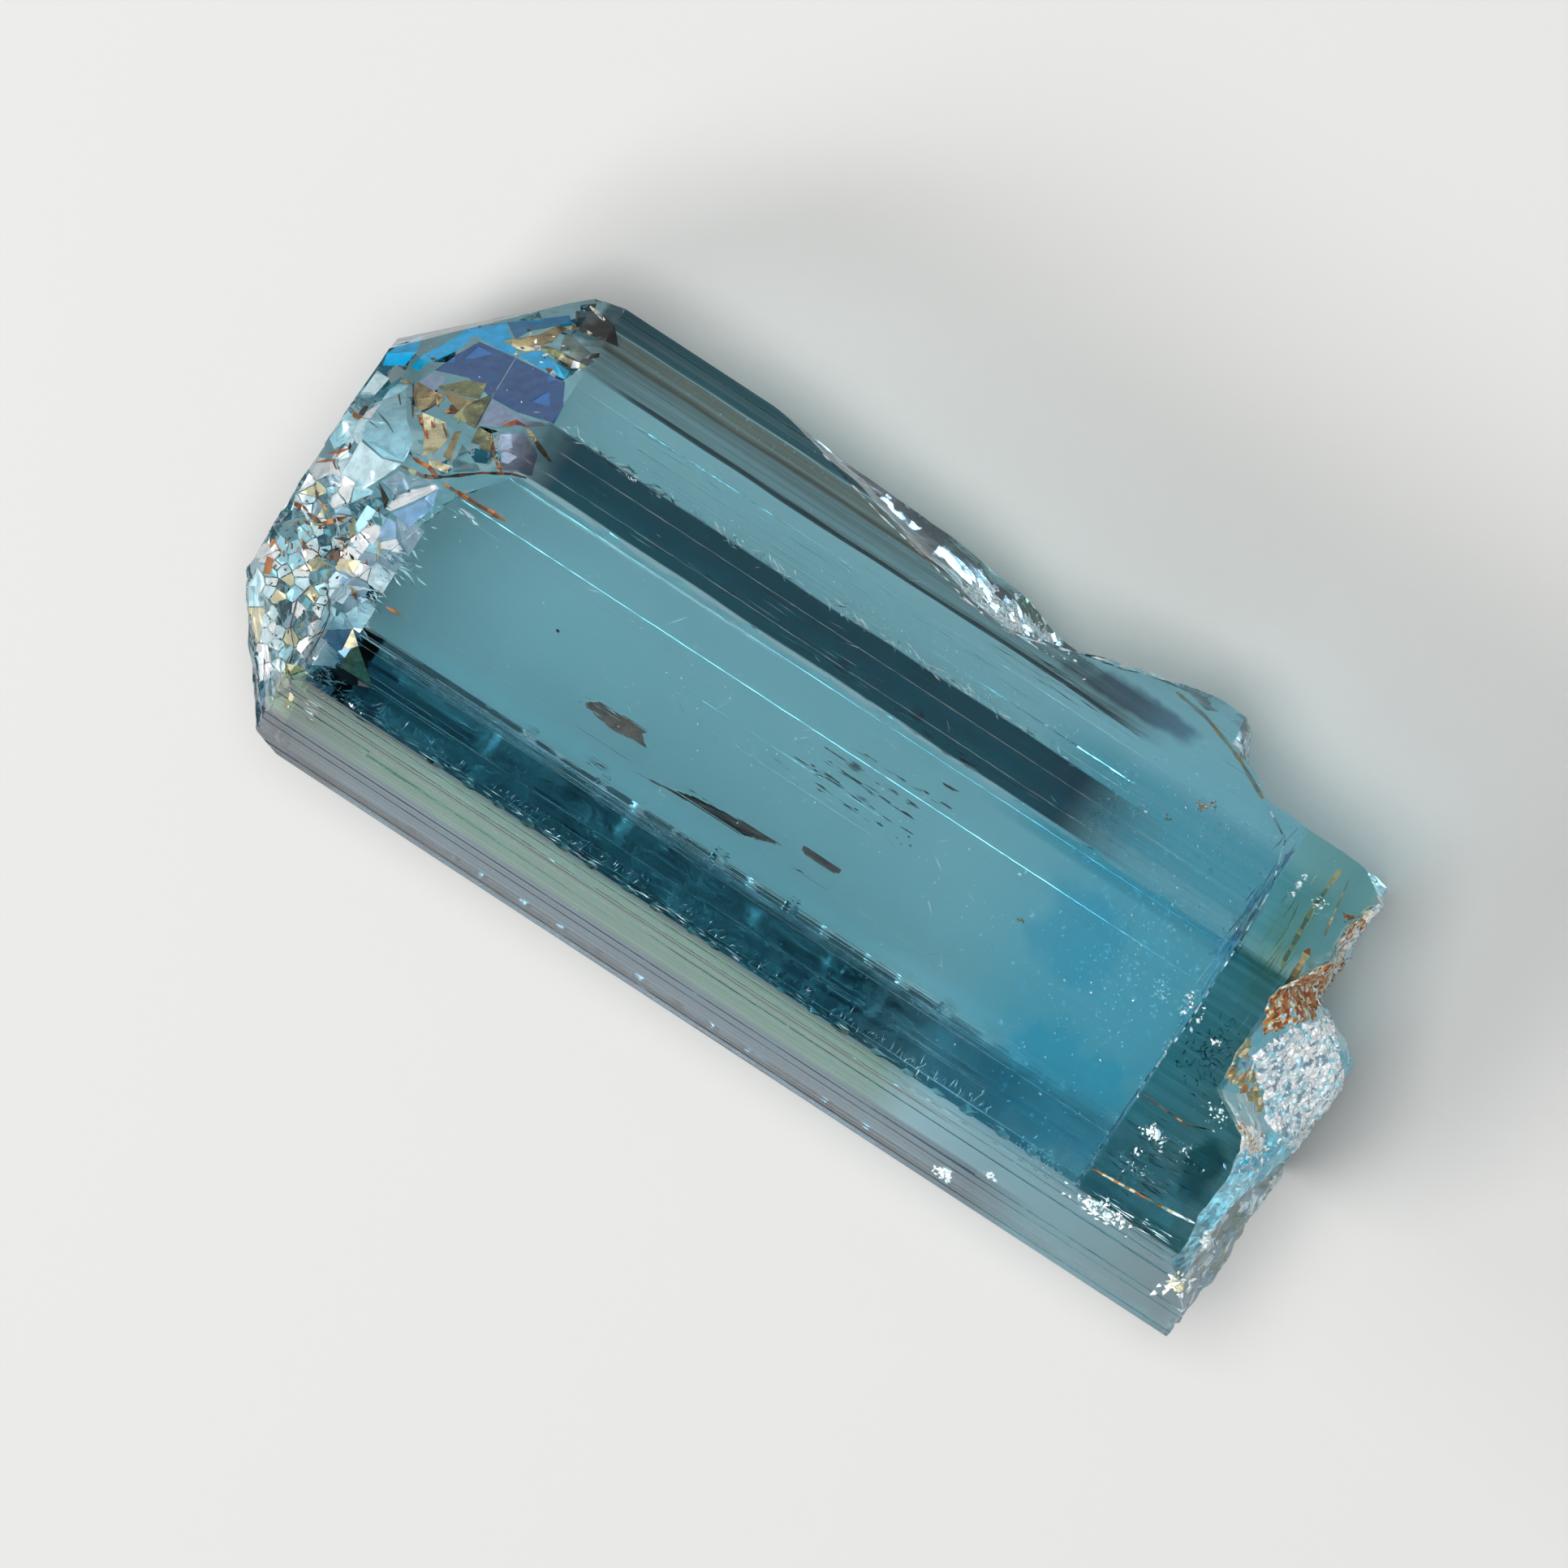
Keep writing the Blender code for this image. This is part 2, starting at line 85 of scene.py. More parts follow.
def toObject(name, bm, material):
    mesh = bpy.data.meshes.new(name)
    bm.to_mesh(mesh)
    bm.free()
    mesh.materials.append(material)
    made = bpy.data.objects.new(name, mesh)
    bpy.context.scene.collection.objects.link(made)
    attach(made, "root")
    return made


# Helpers for materials


def put(tree, kind, settings=None, **inputs):
    made = tree.nodes.new("ShaderNode" + kind)
    for name, value in (settings or {}).items():
        setattr(made, name, value)
    for name, value in inputs.items():
        known = int(name[1:]) if name[0] == "n" and name[1:].isdigit() else name.replace("_", " ")
        connect(tree, made.inputs[known], value)
    return made


def connect(tree, socket, value):
    if isinstance(value, bpy.types.NodeSocket):
        tree.links.new(value, socket)
    else:
        socket.default_value = value


def maths(tree, operation, first, second=0.0):
    return put(tree, "Math", {"operation": operation}, n0=first, n1=second).outputs[0]


def vectorMaths(tree, operation, first, second):
    return put(tree, "VectorMath", {"operation": operation}, n0=first, n1=second)


def blendColor(tree, share, first, second, way="MIX"):
    made = put(tree, "Mix", {"data_type": "RGBA", "blend_type": way}, n0=share, n6=first, n7=second)
    return made.outputs[2]


def remap(tree, value, low, high, newLow=0.0, newHigh=1.0):
    return put(
        tree, "MapRange", {"interpolation_type": "SMOOTHSTEP"},
        n0=value, n1=low, n2=high, n3=newLow, n4=newHigh,
    ).outputs[0]


def newMaterial(name, **inputs):
    material = bpy.data.materials.new(name)
    material.use_nodes = True
    shader = material.node_tree.nodes["Principled BSDF"]
    for socket, value in inputs.items():
        connect(material.node_tree, shader.inputs[socket.replace("_", " ")], value)
    return material


def newGroup(name, takes, gives):
    group = bpy.data.node_groups.new(name, "ShaderNodeTree")
    for title, kind, value in takes:
        socket = group.interface.new_socket(title, in_out="INPUT", socket_type="NodeSocket" + kind)
        if value is not None:
            socket.default_value = value
    for title, kind in gives:
        group.interface.new_socket(title, in_out="OUTPUT", socket_type="NodeSocket" + kind)
    return group, group.nodes.new("NodeGroupInput").outputs, group.nodes.new("NodeGroupOutput").inputs


def useGroup(tree, group, **inputs):
    made = tree.nodes.new("ShaderNodeGroup")
    made.node_tree = group
    for name, value in inputs.items():
        connect(tree, made.inputs[name.replace("_", " ")], value)
    return made.outputs


def placeInMm(tree):
    coordinates = put(tree, "TexCoord").outputs["Object"]
    return put(tree, "VectorMath", {"operation": "SCALE"}, n0=coordinates, Scale=1000.0).outputs[0]


# Effects that are used more than once


def bandGroup():
    group, takes, gives = newGroup(
        "bandOnFace",
        [
            ("Along", "Float", 0.0), ("Across", "Float", 0.0), ("Lines", "Float", 0.0),
            ("Low", "Float", 0.0), ("High", "Float", 1.0), ("Soft", "Float", 0.1),
            ("From", "Float", -5.0), ("To", "Float", 5.0), ("Soft End", "Float", 1.0),
            ("Streaks", "Float", 0.3),
        ],
        [("Mask", "Float")],
    )

    def window(value, low, high, soft):
        rise = remap(group, value, maths(group, "SUBTRACT", low, soft), low)
        fall = remap(group, value, high, maths(group, "ADD", high, soft), 1.0, 0.0)
        return maths(group, "MULTIPLY", rise, fall)

    across = window(takes["Across"], takes["Low"], takes["High"], takes["Soft"])
    along = window(takes["Along"], takes["From"], takes["To"], takes["Soft End"])
    missing = maths(group, "MULTIPLY", takes["Lines"], takes["Streaks"])
    kept = maths(group, "SUBTRACT", 1.0, missing)
    mask = maths(group, "MULTIPLY", maths(group, "MULTIPLY", across, along), kept)
    group.links.new(mask, gives["Mask"])
    return group


def patchGroup():
    group, takes, gives = newGroup(
        "softPatch",
        [("Place", "Vector", None), ("Middle", "Vector", None), ("Reach", "Vector", None),
         ("Drift", "Float", 0.0)],
        [("Mask", "Float")],
    )
    away = vectorMaths(group, "SUBTRACT", takes["Place"], takes["Middle"]).outputs[0]
    away = vectorMaths(group, "DIVIDE", away, takes["Reach"]).outputs[0]
    far = put(group, "VectorMath", {"operation": "LENGTH"}, n0=away).outputs["Value"]
    far = maths(group, "ADD", far, takes["Drift"])
    group.links.new(remap(group, far, 0.55, 1.1, 1.0, 0.0), gives["Mask"])
    return group


def mottleGroup():
    group, takes, gives = newGroup(
        "mottled",
        [("Place", "Vector", None), ("Color", "Color", None), ("Scale", "Float", 6.0),
         ("Darkest", "Float", 0.5)],
        [("Color", "Color"), ("Height", "Float")],
    )
    coarse = put(group, "TexNoise", Vector=takes["Place"], Scale=takes["Scale"], Detail=4.0, Roughness=0.7)
    shade = remap(group, coarse.outputs[0], 0.32, 0.62, takes["Darkest"], 1.15)
    color = put(group, "VectorMath", {"operation": "SCALE"}, n0=takes["Color"], Scale=shade).outputs[0]
    group.links.new(color, gives["Color"])
    group.links.new(coarse.outputs[0], gives["Height"])
    return group


bandOnFace = bandGroup()
softPatch = patchGroup()
mottled = mottleGroup()


def stainMaterial(name, roughness, scale=6.0, darkest=0.5, bumpDepth=0.02 * mm):
    material = newMaterial(name, Roughness=roughness)
    tree = material.node_tree
    shader = tree.nodes["Principled BSDF"]
    hue = put(tree, "Attribute", {"attribute_name": "hue"}).outputs["Color"]
    look = useGroup(tree, mottled, Place=placeInMm(tree), Color=hue, Scale=scale, Darkest=darkest)
    connect(tree, shader.inputs["Base Color"], look["Color"])
    bump = put(tree, "Bump", Strength=0.4, Distance=bumpDepth, Height=look["Height"])
    connect(tree, shader.inputs["Normal"], bump.outputs[0])
    return material


print("shared effects ready")


# The crystal

crystalLook = {
    "tint": (0.55, 0.845, 0.925),  # what is left of red, green and blue light
    "tintDepth": 8.4 * mm,         # after this length of crystal
    "refraction": 1.577,
    "gloss": 0.2,                  # share of the usual reflection
    "sliceLength": 0.70 * mm,      # rows along the prism faces
    "sliceWidth": 0.24 * mm,       # rows across them
    "etchCell": 0.170 * mm,        # longest triangle side on the etched end
    "breakCell": 0.200 * mm,       # and on broken surfaces
    "growthRelief": 0.004 * mm,
    "etchRelief": 0.045 * mm,
    "breakRelief": 0.040 * mm,
    "chipRelief": 0.006 * mm,
    # Bands on the prism faces: azimuth of the face, then in mm low, high and softness across
    # it and from, to and softness along it, then how streaky it is and its tint
    # Most are colour zones and stains; the three marked below are painted shade.
    "bandsAndPaintedShade": [
        # Painted shade: a near-black band beside the edge with the top face
        (30, 0.95, 2.28, 0.06, -6.4, 3.4, 2.0, 0.0, (0.0, 0.020, 0.034)),
        (30, -1.75, -1.32, 0.06, -6.8, 0.4, 1.4, 0.22, (0.34, 0.17, 0.11)),
        (30, -1.34, -0.62, 0.10, -6.8, 3.4, 1.2, 0.30, (0.26, 0.20, 0.19)),
        # Painted shade: a near-black band along this face's outer edge
        (30, -2.60, -1.84, 0.04, -7.6, 2.0, 0.6, 0.06, (0.006, 0.050, 0.070)),
        (30, -0.66, -0.57, 0.02, -6.0, 3.2, 1.0, 0.04, (0.02, 0.05, 0.07)),
        (30, -2.3, 2.4, 0.10, 7.1, 10.5, 0.05, 0.20, (0.88, 0.88, 0.68)),
        (30, 0.3, 2.4, 0.60, 3.6, 7.2, 1.6, 0.15, (0.24, 0.60, 0.70)),
        # Painted shade: a dark band along the top face's lower edge
        (90, 1.45, 2.35, 0.50, -7.4, 2.2, 2.4, 0.02, (0.03, 0.15, 0.20)),
        (90, -2.3, 2.3, 0.30, 5.2, 7.02, 2.6, 0.08, (0.36, 0.76, 0.90)),
        (90, -2.4, 2.5, 0.10, 7.1, 10.5, 0.05, 0.16, (0.13, 0.25, 0.23)),
        (150, -2.3, 0.10, 0.20, -8.0, 3.2, 1.2, 0.18, (0.22, 0.34, 0.15)),
        (150, -1.45, -1.32, 0.03, -8.0, 4.2, 1.0, 0.05, (0.01, 0.03, 0.03)),
        (150, 0.25, 2.4, 0.20, -8.0, 5.6, 1.5, 0.14, (0.18, 0.15, 0.21)),
        (150, -2.4, 2.4, 0.20, 5.8, 10.5, 2.5, 0.06, (0.26, 0.50, 0.54)),
    ],
    # Soft patches: middle and half extent as the viewer sees them, in mm, and tint
    "patches": [
        (5.9, -2.2, 1.4, 1.3, (0.34, 0.86, 1.0)),
        (4.75, 0.15, 0.9, 0.9, (0.52, 0.82, 0.94)),
        (3.5, 3.85, 1.5, 0.42, (0.20, 0.20, 0.28)),
        (7.7, 2.0, 0.40, 1.9, (0.95, 0.90, 0.72)),
        (8.6, -2.0, 0.45, 0.60, (0.06, 0.22, 0.24)),
        (-7.25, 4.1, 0.60, 0.35, (0.02, 0.10, 0.15)),
    ],
}


def prismFaceOf(centre, normal):
    for azimuth in range(30, 390, 60):
        out = outOf(azimuth)
        if normal.dot(out) > 0.97 and abs((centre - axis).dot(out) - faceDistance) < 0.2 * mm:
            return azimuth
    return None


# Kinds of surface: 0 a prism face, 1 the etched end, 2 the broken base, 3 a chip or a ledge
def markSurfaces(bm):
    kinds = bm.faces.layers.int.new("kind")
    for face in bm.faces:
        centre = face.calc_center_median()
        if prismFaceOf(centre, face.normal) is not None:
            face[kinds] = 0
        elif centre.x < -6.2 * mm:
            face[kinds] = 1
        elif centre.x > 6.3 * mm and (face.normal.x > 0.35 or centre.x > 7.6 * mm):
            face[kinds] = 2
        else:
            face[kinds] = 3
    return kinds


def cutAll(bm, point, normal):
    everything = bm.verts[:] + bm.edges[:] + bm.faces[:]
    bmesh.ops.bisect_plane(bm, geom=everything, dist=1e-7, plane_co=point, plane_no=normal)


def sliceFaces(bm):
    step = crystalLook["sliceLength"]
    for i in range(round(15 * mm / step)):
        cutAll(bm, Vector((-7.4 * mm + i * step, 0, 0)), Vector((1, 0, 0)))
    step = crystalLook["sliceWidth"]
    count = int(2.3 * mm / step)
    for azimuth in (0, 60, 120):
        for i in range(-count, count + 1):
            cutAll(bm, axis + outOf(azimuth) * (i + 0.5) * step, outOf(azimuth))
    bmesh.ops.triangulate(bm, faces=[f for f in bm.faces if len(f.verts) > 3])


def halve(edge):
    sides = list(edge.link_faces)
    middle = bmesh.utils.edge_split(edge, edge.verts[0], 0.5)[1]
    for side in sides:
        corner = next(loop for loop in side.loops if loop.vert == middle)
        opposite = corner.link_loop_next.link_loop_next.vert
        bmesh.utils.face_split(side, middle, opposite)


# Halves only the longest side of each long triangle, so that none turns into a sliver
def splitLong(bm, kinds, wanted, longest):
    mostPasses = 14
    for _ in range(mostPasses):
        edges = set()
        for face in bm.faces:
            if face[kinds] in wanted:
                edge = max(face.edges, key=bmesh.types.BMEdge.calc_length)
                if edge.calc_length() > longest:
                    edges.add(edge)
        if not edges:
            return
        for edge in sorted(edges, key=lambda each: (-each.calc_length(), each.index)):
            halve(edge)


def refine(bm, longest):
    everywhere = bm.faces.layers.int.new("everywhere")
    splitLong(bm, everywhere, {0}, longest)
    bm.faces.layers.int.remove(bm.faces.layers.int["everywhere"])


def facetRelief(place, size, seed):
    spot = place / size + Vector((seed, 0, 0))
    near = noise.voronoi(spot)[1][0]
    tilt = noise.noise_vector(near * 7.3) * 1.6
    return clamp(tilt.dot(spot - near) + noise.noise(near * 3.1) * 0.5, -1.0, 1.0)


def etchStrength(place):
    y, z = (place - axis).yz
    return 0.12 + 0.88 * easeIn(0.30, -0.15, (y - 0.45 * z) / prismSide)


def growthRelief(place):
    wide = noise.noise(Vector((place.x / 14, place.y / 0.35, place.z / 0.35)) / mm)
    fine = noise.noise(Vector((place.x / 5, place.y / 0.12, place.z / 0.12)) / mm + Vector((9, 9, 9)))
    return wide + 0.5 * fine


def reliefAt(place, kinds):
    if kinds == {0}:
        return growthRelief(place) * crystalLook["growthRelief"]
    if 0 in kinds:
        return 0.0
    if 1 in kinds:
        rough = facetRelief(place, 0.42 * mm, 3) + 0.5 * facetRelief(place, 0.17 * mm, 8)
        return (rough - 0.6) * crystalLook["etchRelief"] * etchStrength(place)
    if 2 in kinds:
        rough = facetRelief(place, 0.50 * mm, 5) + 0.6 * facetRelief(place, 0.20 * mm, 1)
        return (rough + 0.5 * noise.noise(place / (0.09 * mm)) - 0.3) * crystalLook["breakRelief"]
    ripple = noise.noise(Vector((place.x / 0.22, place.y / 0.9, place.z / 0.9)) / mm)
    return ripple * crystalLook["chipRelief"]


def addRelief(bm, kinds):
    lowest = 0.002 * mm
    moves = []
    for vert in bm.verts:
        if vert.co.z > lowest:
            found = {face[kinds] for face in vert.link_faces}
            moves.append((vert, vert.normal * reliefAt(vert.co, found)))
    for vert, move in moves:
        vert.co += move


def shadeSurfaces(bm, kinds):
    etched = bm.faces.layers.float.new("etched")
    broken = bm.faces.layers.float.new("broken")
    for face in bm.faces:
        face[etched] = etchStrength(face.calc_center_median()) if face[kinds] == 1 else 0.0
        face[broken] = 1.0 if face[kinds] == 2 else 0.0
        face.smooth = face[kinds] == 3
    for edge in bm.edges:
        edge.smooth = len({face[kinds] for face in edge.link_faces}) == 1
        edge.smooth = edge.smooth and edge.calc_face_angle(math.pi) < math.radians(30)
    bm.faces.layers.int.remove(kinds)


def shapeCrystal():
    bm = bmesh.new()
    bm.from_mesh(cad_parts["crystal"].data)
    bmesh.ops.remove_doubles(bm, verts=bm.verts, dist=1e-7)
    kinds = markSurfaces(bm)
    sliceFaces(bm)
    splitLong(bm, kinds, {1}, crystalLook["etchCell"])
    splitLong(bm, kinds, {2, 3}, crystalLook["breakCell"])
    bm.normal_update()
    addRelief(bm, kinds)
    shadeSurfaces(bm, bm.faces.layers.int["kind"])
    print("crystal faces", len(bm.faces), "edges out of order", sum(not e.is_manifold for e in bm.edges))
    return bm


crystalShape = shapeCrystal()
skin = BVHTree.FromBMesh(crystalShape)


# Places are (x, up) in mm as the viewer sees them, from the crystal's middle. A depth is
# measured inwards along the bent line of sight, and a negative one stands off the surface.
def lookInto(x, up, depth):
    start = axis + Vector((x * mm, 0, 0)) + viewUp * up * mm + viewBack * 20 * mm
    spot, normal = skin.ray_cast(start, -viewBack)[:2]
    if spot is None:
        return None, None
    if normal.dot(viewBack) < 0:
        normal = -normal
    if prismFaceOf(spot, normal) is not None or depth > 0.5:
        normal = max(map(outOf, (30, 90, 150)), key=(spot - axis).dot)
    if depth <= 0:
        return spot - viewBack * depth * mm, normal
    ratio = 1 / crystalLook["refraction"]
    facing = normal.dot(viewBack)
    bent = math.sqrt(1 - ratio * ratio * (1 - facing * facing))
    inwards = -viewBack * ratio + normal * (ratio * facing - bent)
    if depth > 0.2:
        clear = 0.15 * mm
        through = (skin.ray_cast(spot + inwards * clear, inwards)[3] or 0.0) + clear
        depth = min(depth, through * 0.9 / mm)
    return spot + inwards * depth * mm, normal


def absorption():
    rates = [-math.log(kept) / crystalLook["tintDepth"] for kept in crystalLook["tint"]]
    density = max(rates) * 1.02
    return (*(1 - rate / density for rate in rates), 1), density


# Multiplies the band tints into the crystal's colour; some of the bands are painted shade
def addBands(tree, place, color):
    fromAxis = vectorMaths(tree, "SUBTRACT", place, axis / mm).outputs[0]
    along = put(tree, "SeparateXYZ", Vector=place).outputs[0]
    squeezed = vectorMaths(tree, "MULTIPLY", place, (0.5, 3.0, 3.0)).outputs[0]
    wave = put(tree, "TexNoise", Vector=squeezed, Scale=1.0, Detail=1.0).outputs[0]
    drift = maths(tree, "MULTIPLY", maths(tree, "SUBTRACT", wave, 0.5), 0.14)
    stretched = vectorMaths(tree, "MULTIPLY", place, (0.10, 9.0, 9.0)).outputs[0]
    lines = put(tree, "TexNoise", Vector=stretched, Scale=1.0, Detail=2.0, Roughness=0.75).outputs[0]
    lines = remap(tree, lines, 0.42, 0.66)
    for azimuth in sorted({band[0] for band in crystalLook["bandsAndPaintedShade"]}):
        out = vectorMaths(tree, "DOT_PRODUCT", fromAxis, outOf(azimuth)).outputs["Value"]
        onFace = remap(tree, out, faceDistance / mm - 0.30, faceDistance / mm - 0.22)
        across = vectorMaths(tree, "DOT_PRODUCT", fromAxis, outOf(azimuth + 90)).outputs["Value"]
        across = maths(tree, "ADD", across, drift)
        onThisFace = (1.0, 1.0, 1.0, 1.0)
        for face, low, high, soft, start, end, softEnd, streaks, tint in crystalLook["bandsAndPaintedShade"]:
            if face == azimuth:
                mask = useGroup(
                    tree, bandOnFace, Along=along, Across=across, Lines=lines, Low=low, High=high,
                    Soft=soft, From=start, To=end, Soft_End=softEnd, Streaks=streaks,
                )["Mask"]
                onThisFace = blendColor(tree, mask, onThisFace, (*tint, 1), "MULTIPLY")
        color = blendColor(tree, onFace, color, onThisFace, "MULTIPLY")
    return color


def addPatches(tree, place, color):
    cloudy = put(tree, "TexNoise", Vector=place, Scale=1.6, Detail=2.0).outputs[0]
    drift = maths(tree, "MULTIPLY", maths(tree, "SUBTRACT", cloudy, 0.5), 1.4)
    for x, up, reachX, reachUp, tint in crystalLook["patches"]:
        spot = lookInto(x, up, 0)[0]
        if spot is None:
            continue
        mask = useGroup(
            tree, softPatch, Place=place, Middle=spot / mm,
            Reach=(reachX, reachUp, reachUp), Drift=drift,
        )["Mask"]
        color = blendColor(tree, mask, color, (*tint, 1), "MULTIPLY")
    return color


def crystalMaterial():
    gloss = crystalLook["gloss"]
    material = newMaterial(
        "aquamarine", IOR=crystalLook["refraction"], Transmission_Weight=1.0,
        Specular_Tint=(gloss, gloss, gloss, 1),
    )
    tree = material.node_tree
    shader = tree.nodes["Principled BSDF"]
    place = placeInMm(tree)
    color = addPatches(tree, place, addBands(tree, place, (1.0, 1.0, 1.0, 1.0)))
    connect(tree, shader.inputs["Base Color"], color)

    etched = put(tree, "Attribute", {"attribute_name": "etched"}).outputs["Fac"]
    broken = put(tree, "Attribute", {"attribute_name": "broken"}).outputs["Fac"]
    stretched = vectorMaths(tree, "MULTIPLY", place, (0.05, 11.0, 11.0)).outputs[0]
    growth = put(tree, "TexNoise", Vector=stretched, Scale=1.0, Detail=2.0, Roughness=0.7).outputs[0]
    worn = maths(tree, "MAXIMUM", etched, broken)
    lined = maths(tree, "SUBTRACT", 1.0, worn)
    height = maths(tree, "MULTIPLY", growth, lined)
    bump = put(tree, "Bump", Strength=0.25, Distance=0.009 * mm, Height=height)
    connect(tree, shader.inputs["Normal"], bump.outputs[0])

    milky = remap(tree, put(tree, "SeparateXYZ", Vector=place).outputs[0], 2.2, 6.4, 0.0, 0.22)
    rough = maths(tree, "ADD", 0.01, maths(tree, "MULTIPLY", etched, 0.16))
    rough = maths(tree, "ADD", rough, maths(tree, "MULTIPLY", broken, 0.30))
    connect(tree, shader.inputs["Roughness"], maths(tree, "MAXIMUM", rough, milky))

    absorbed, density = absorption()
    volume = put(tree, "VolumeAbsorption", Color=absorbed, Density=density)
    tree.links.new(volume.outputs[0], tree.nodes["Material Output"].inputs["Volume"])
    return material


crystal = toObject("aquamarineCrystal", crystalShape, crystalMaterial())
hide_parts("crystal")
print("crystal ready")


# Small shapes in and on the crystal


def addPlate(bm, rim, thickness, color):
    if len(rim) < 3:
        return
    hue = bm.faces.layers.float_color["hue"]
    back = viewBack * thickness
    front = [bm.verts.new(spot) for spot in rim]
    rear = [bm.verts.new(spot - back) for spot in rim]
    made = [bm.faces.new(front), bm.faces.new(rear[::-1])]
    for i in range(len(rim)):
        j = (i + 1) % len(rim)
        made.append(bm.faces.new((front[j], front[i], rear[i], rear[j])))
    for face in made:
        face[hue] = (*color, 1)


# A flat piece seen as the given outline. It leans by (x, up), in depth for each mm.
def addSeen(bm, outline, depth, thickness, color, lean=(0, 0)):
    middle = sum((Vector(point) for point in outline), Vector((0, 0))) / len(outline)
    rim = []
    for x, up in outline:
        deeper = lean[0] * (x - middle.x) + lean[1] * (up - middle.y)
        spot = lookInto(x, up, depth + deeper)[0]
        if spot is not None:
            rim.append(spot)
    addPlate(bm, rim, thickness * mm, color)


def pick(rng, names):
    return shades[rng.choice(names.split())]


# A tapered, uneven line through the given points
def addRibbon(bm, rng, line, width, depth, names, step=0.12):
    points = []
    for a, b in zip(line, line[1:]):
        count = max(1, round((Vector(b) - Vector(a)).length / step))
        points += [Vector(a).lerp(Vector(b), i / count) for i in range(count)]
    points.append(Vector(line[-1]))
    last = len(points) - 1
    sides = []
    for i, point in enumerate(points):
        along = (points[min(i + 1, last)] - points[max(i - 1, 0)]).normalized()
        reach = width / 2 * rng.uniform(0.55, 1.15) * (0.35 if i in (0, last) else 1.0)
        across = Vector((-along.y, along.x)) * reach
        sides.append((point + across, point - across))
    for (a, b), (c, d) in zip(sides, sides[1:]):
        addSeen(bm, [a, c, d, b], depth, 0.02, pick(rng, names))


# A chunky chip that faces its own way
def addChip(bm, rng, centre, size, stretch, color):
    turn = Vector([rng.uniform(-1, 1) for _ in range(3)]).normalized().to_track_quat("Z", "Y").to_matrix()
    corners = rng.choice((3, 4))
    hue = bm.faces.layers.float_color["hue"]
    rim = []
    for i in range(corners):
        angle = 2 * math.pi * (i + rng.uniform(-0.2, 0.2)) / corners
        rim.append(centre + turn @ Vector((math.cos(angle) * stretch, math.sin(angle), 0)) * size)
    top = bm.verts.new(centre + turn @ Vector((0, 0, size * 0.7)))
    foot = bm.verts.new(centre - turn @ Vector((0, 0, size * 0.7)))
    ring = [bm.verts.new(spot) for spot in rim]
    for i in range(corners):
        j = (i + 1) % corners
        bm.faces.new((ring[i], ring[j], top))[hue] = (*color, 1)
        bm.faces.new((ring[j], ring[i], foot))[hue] = (*color, 1)


# Chips in a cloud: middle, half extents, how many, smallest and largest, stretch, from and to depth
def addChipCloud(bm, rng, x, up, reachX, reachUp, count, small, large, stretch, near, far, names):
    for _ in range(count):
        at = (x + rng.gauss(0, 0.5) * reachX, up + rng.gauss(0, 0.5) * reachUp)
        spot = lookInto(*at, rng.uniform(near, far))[0]
        if spot is not None:
            size = rng.uniform(small, large) * mm
            addChip(bm, rng, spot, size, rng.uniform(1, stretch), pick(rng, names))


# Strokes in a cloud, turned by degrees from the crystal's length
def addStrokes(bm, rng, x, up, reachX, reachUp, count, short, long, width, turn, depth, names):
    for _ in range(count):
        middle = Vector((x + rng.gauss(0, 0.5) * reachX, up + rng.gauss(0, 0.5) * reachUp))
        angle = math.radians(rng.uniform(*turn))
        along = Vector((math.cos(angle), math.sin(angle))) * rng.uniform(short, long) / 2
        across = Vector((-along.y, along.x)).normalized() * width * rng.uniform(0.3, 0.6)
        bend = across * rng.uniform(-1.5, 1.5)
        outline = [middle - along, middle + bend + across, middle + along, middle + bend - across]
        addSeen(bm, outline, depth * rng.uniform(0.7, 1.3), 0.008, pick(rng, names))


def insideOutline(x, up, outline):
    inside = False
    for (ax, ay), (bx, by) in zip(outline, outline[1:] + outline[:1]):
        if (ay > up) != (by > up) and x < ax + (bx - ax) * (up - ay) / (by - ay):
            inside = not inside
    return inside


# What is left of a cell that is nearer to its own seed than to another one
def clipCell(cell, seed, other, gap):
    away = (other - seed).normalized()
    limit = (seed + other).dot(away) / 2 - gap / 2
    kept = []
    for a, b in zip(cell, cell[1:] + cell[:1]):
        beyondA, beyondB = a.dot(away) - limit, b.dot(away) - limit
        if beyondA <= 0:
            kept.append(a)
        if beyondA * beyondB < 0:
            kept.append(a.lerp(b, beyondA / (beyondA - beyondB)))
    return kept


# Fills an outline with straight-sided facets, each with its own tilt and colour
def addMosaic(bm, rng, outline, cell, gap, keep, depth, tilt, names):
    xs, ups = zip(*outline)
    seeds = []
    for i in range(int((max(xs) - min(xs)) / cell) + 1):
        for j in range(int((max(ups) - min(ups)) / cell) + 1):
            x = min(xs) + (i + rng.random()) * cell
            up = min(ups) + (j + rng.random()) * cell
            if insideOutline(x, up, outline):
                seeds.append(Vector((x, up)))
    for seed in seeds:
        facet = [seed + Vector(corner) * cell * 0.95 for corner in ((-1, -1), (1, -1), (1, 1), (-1, 1))]
        near = sorted(seeds, key=lambda other: (other - seed).length_squared)[1:14]
        for other in near:
            if (other - seed).length > gap:
                facet = clipCell(facet, seed, other, gap)
        if len(facet) > 2 and rng.random() < keep:
            lean = (rng.uniform(-tilt, tilt), rng.uniform(-tilt, tilt))
            addSeen(bm, facet, depth, 0.012, pick(rng, names), lean)
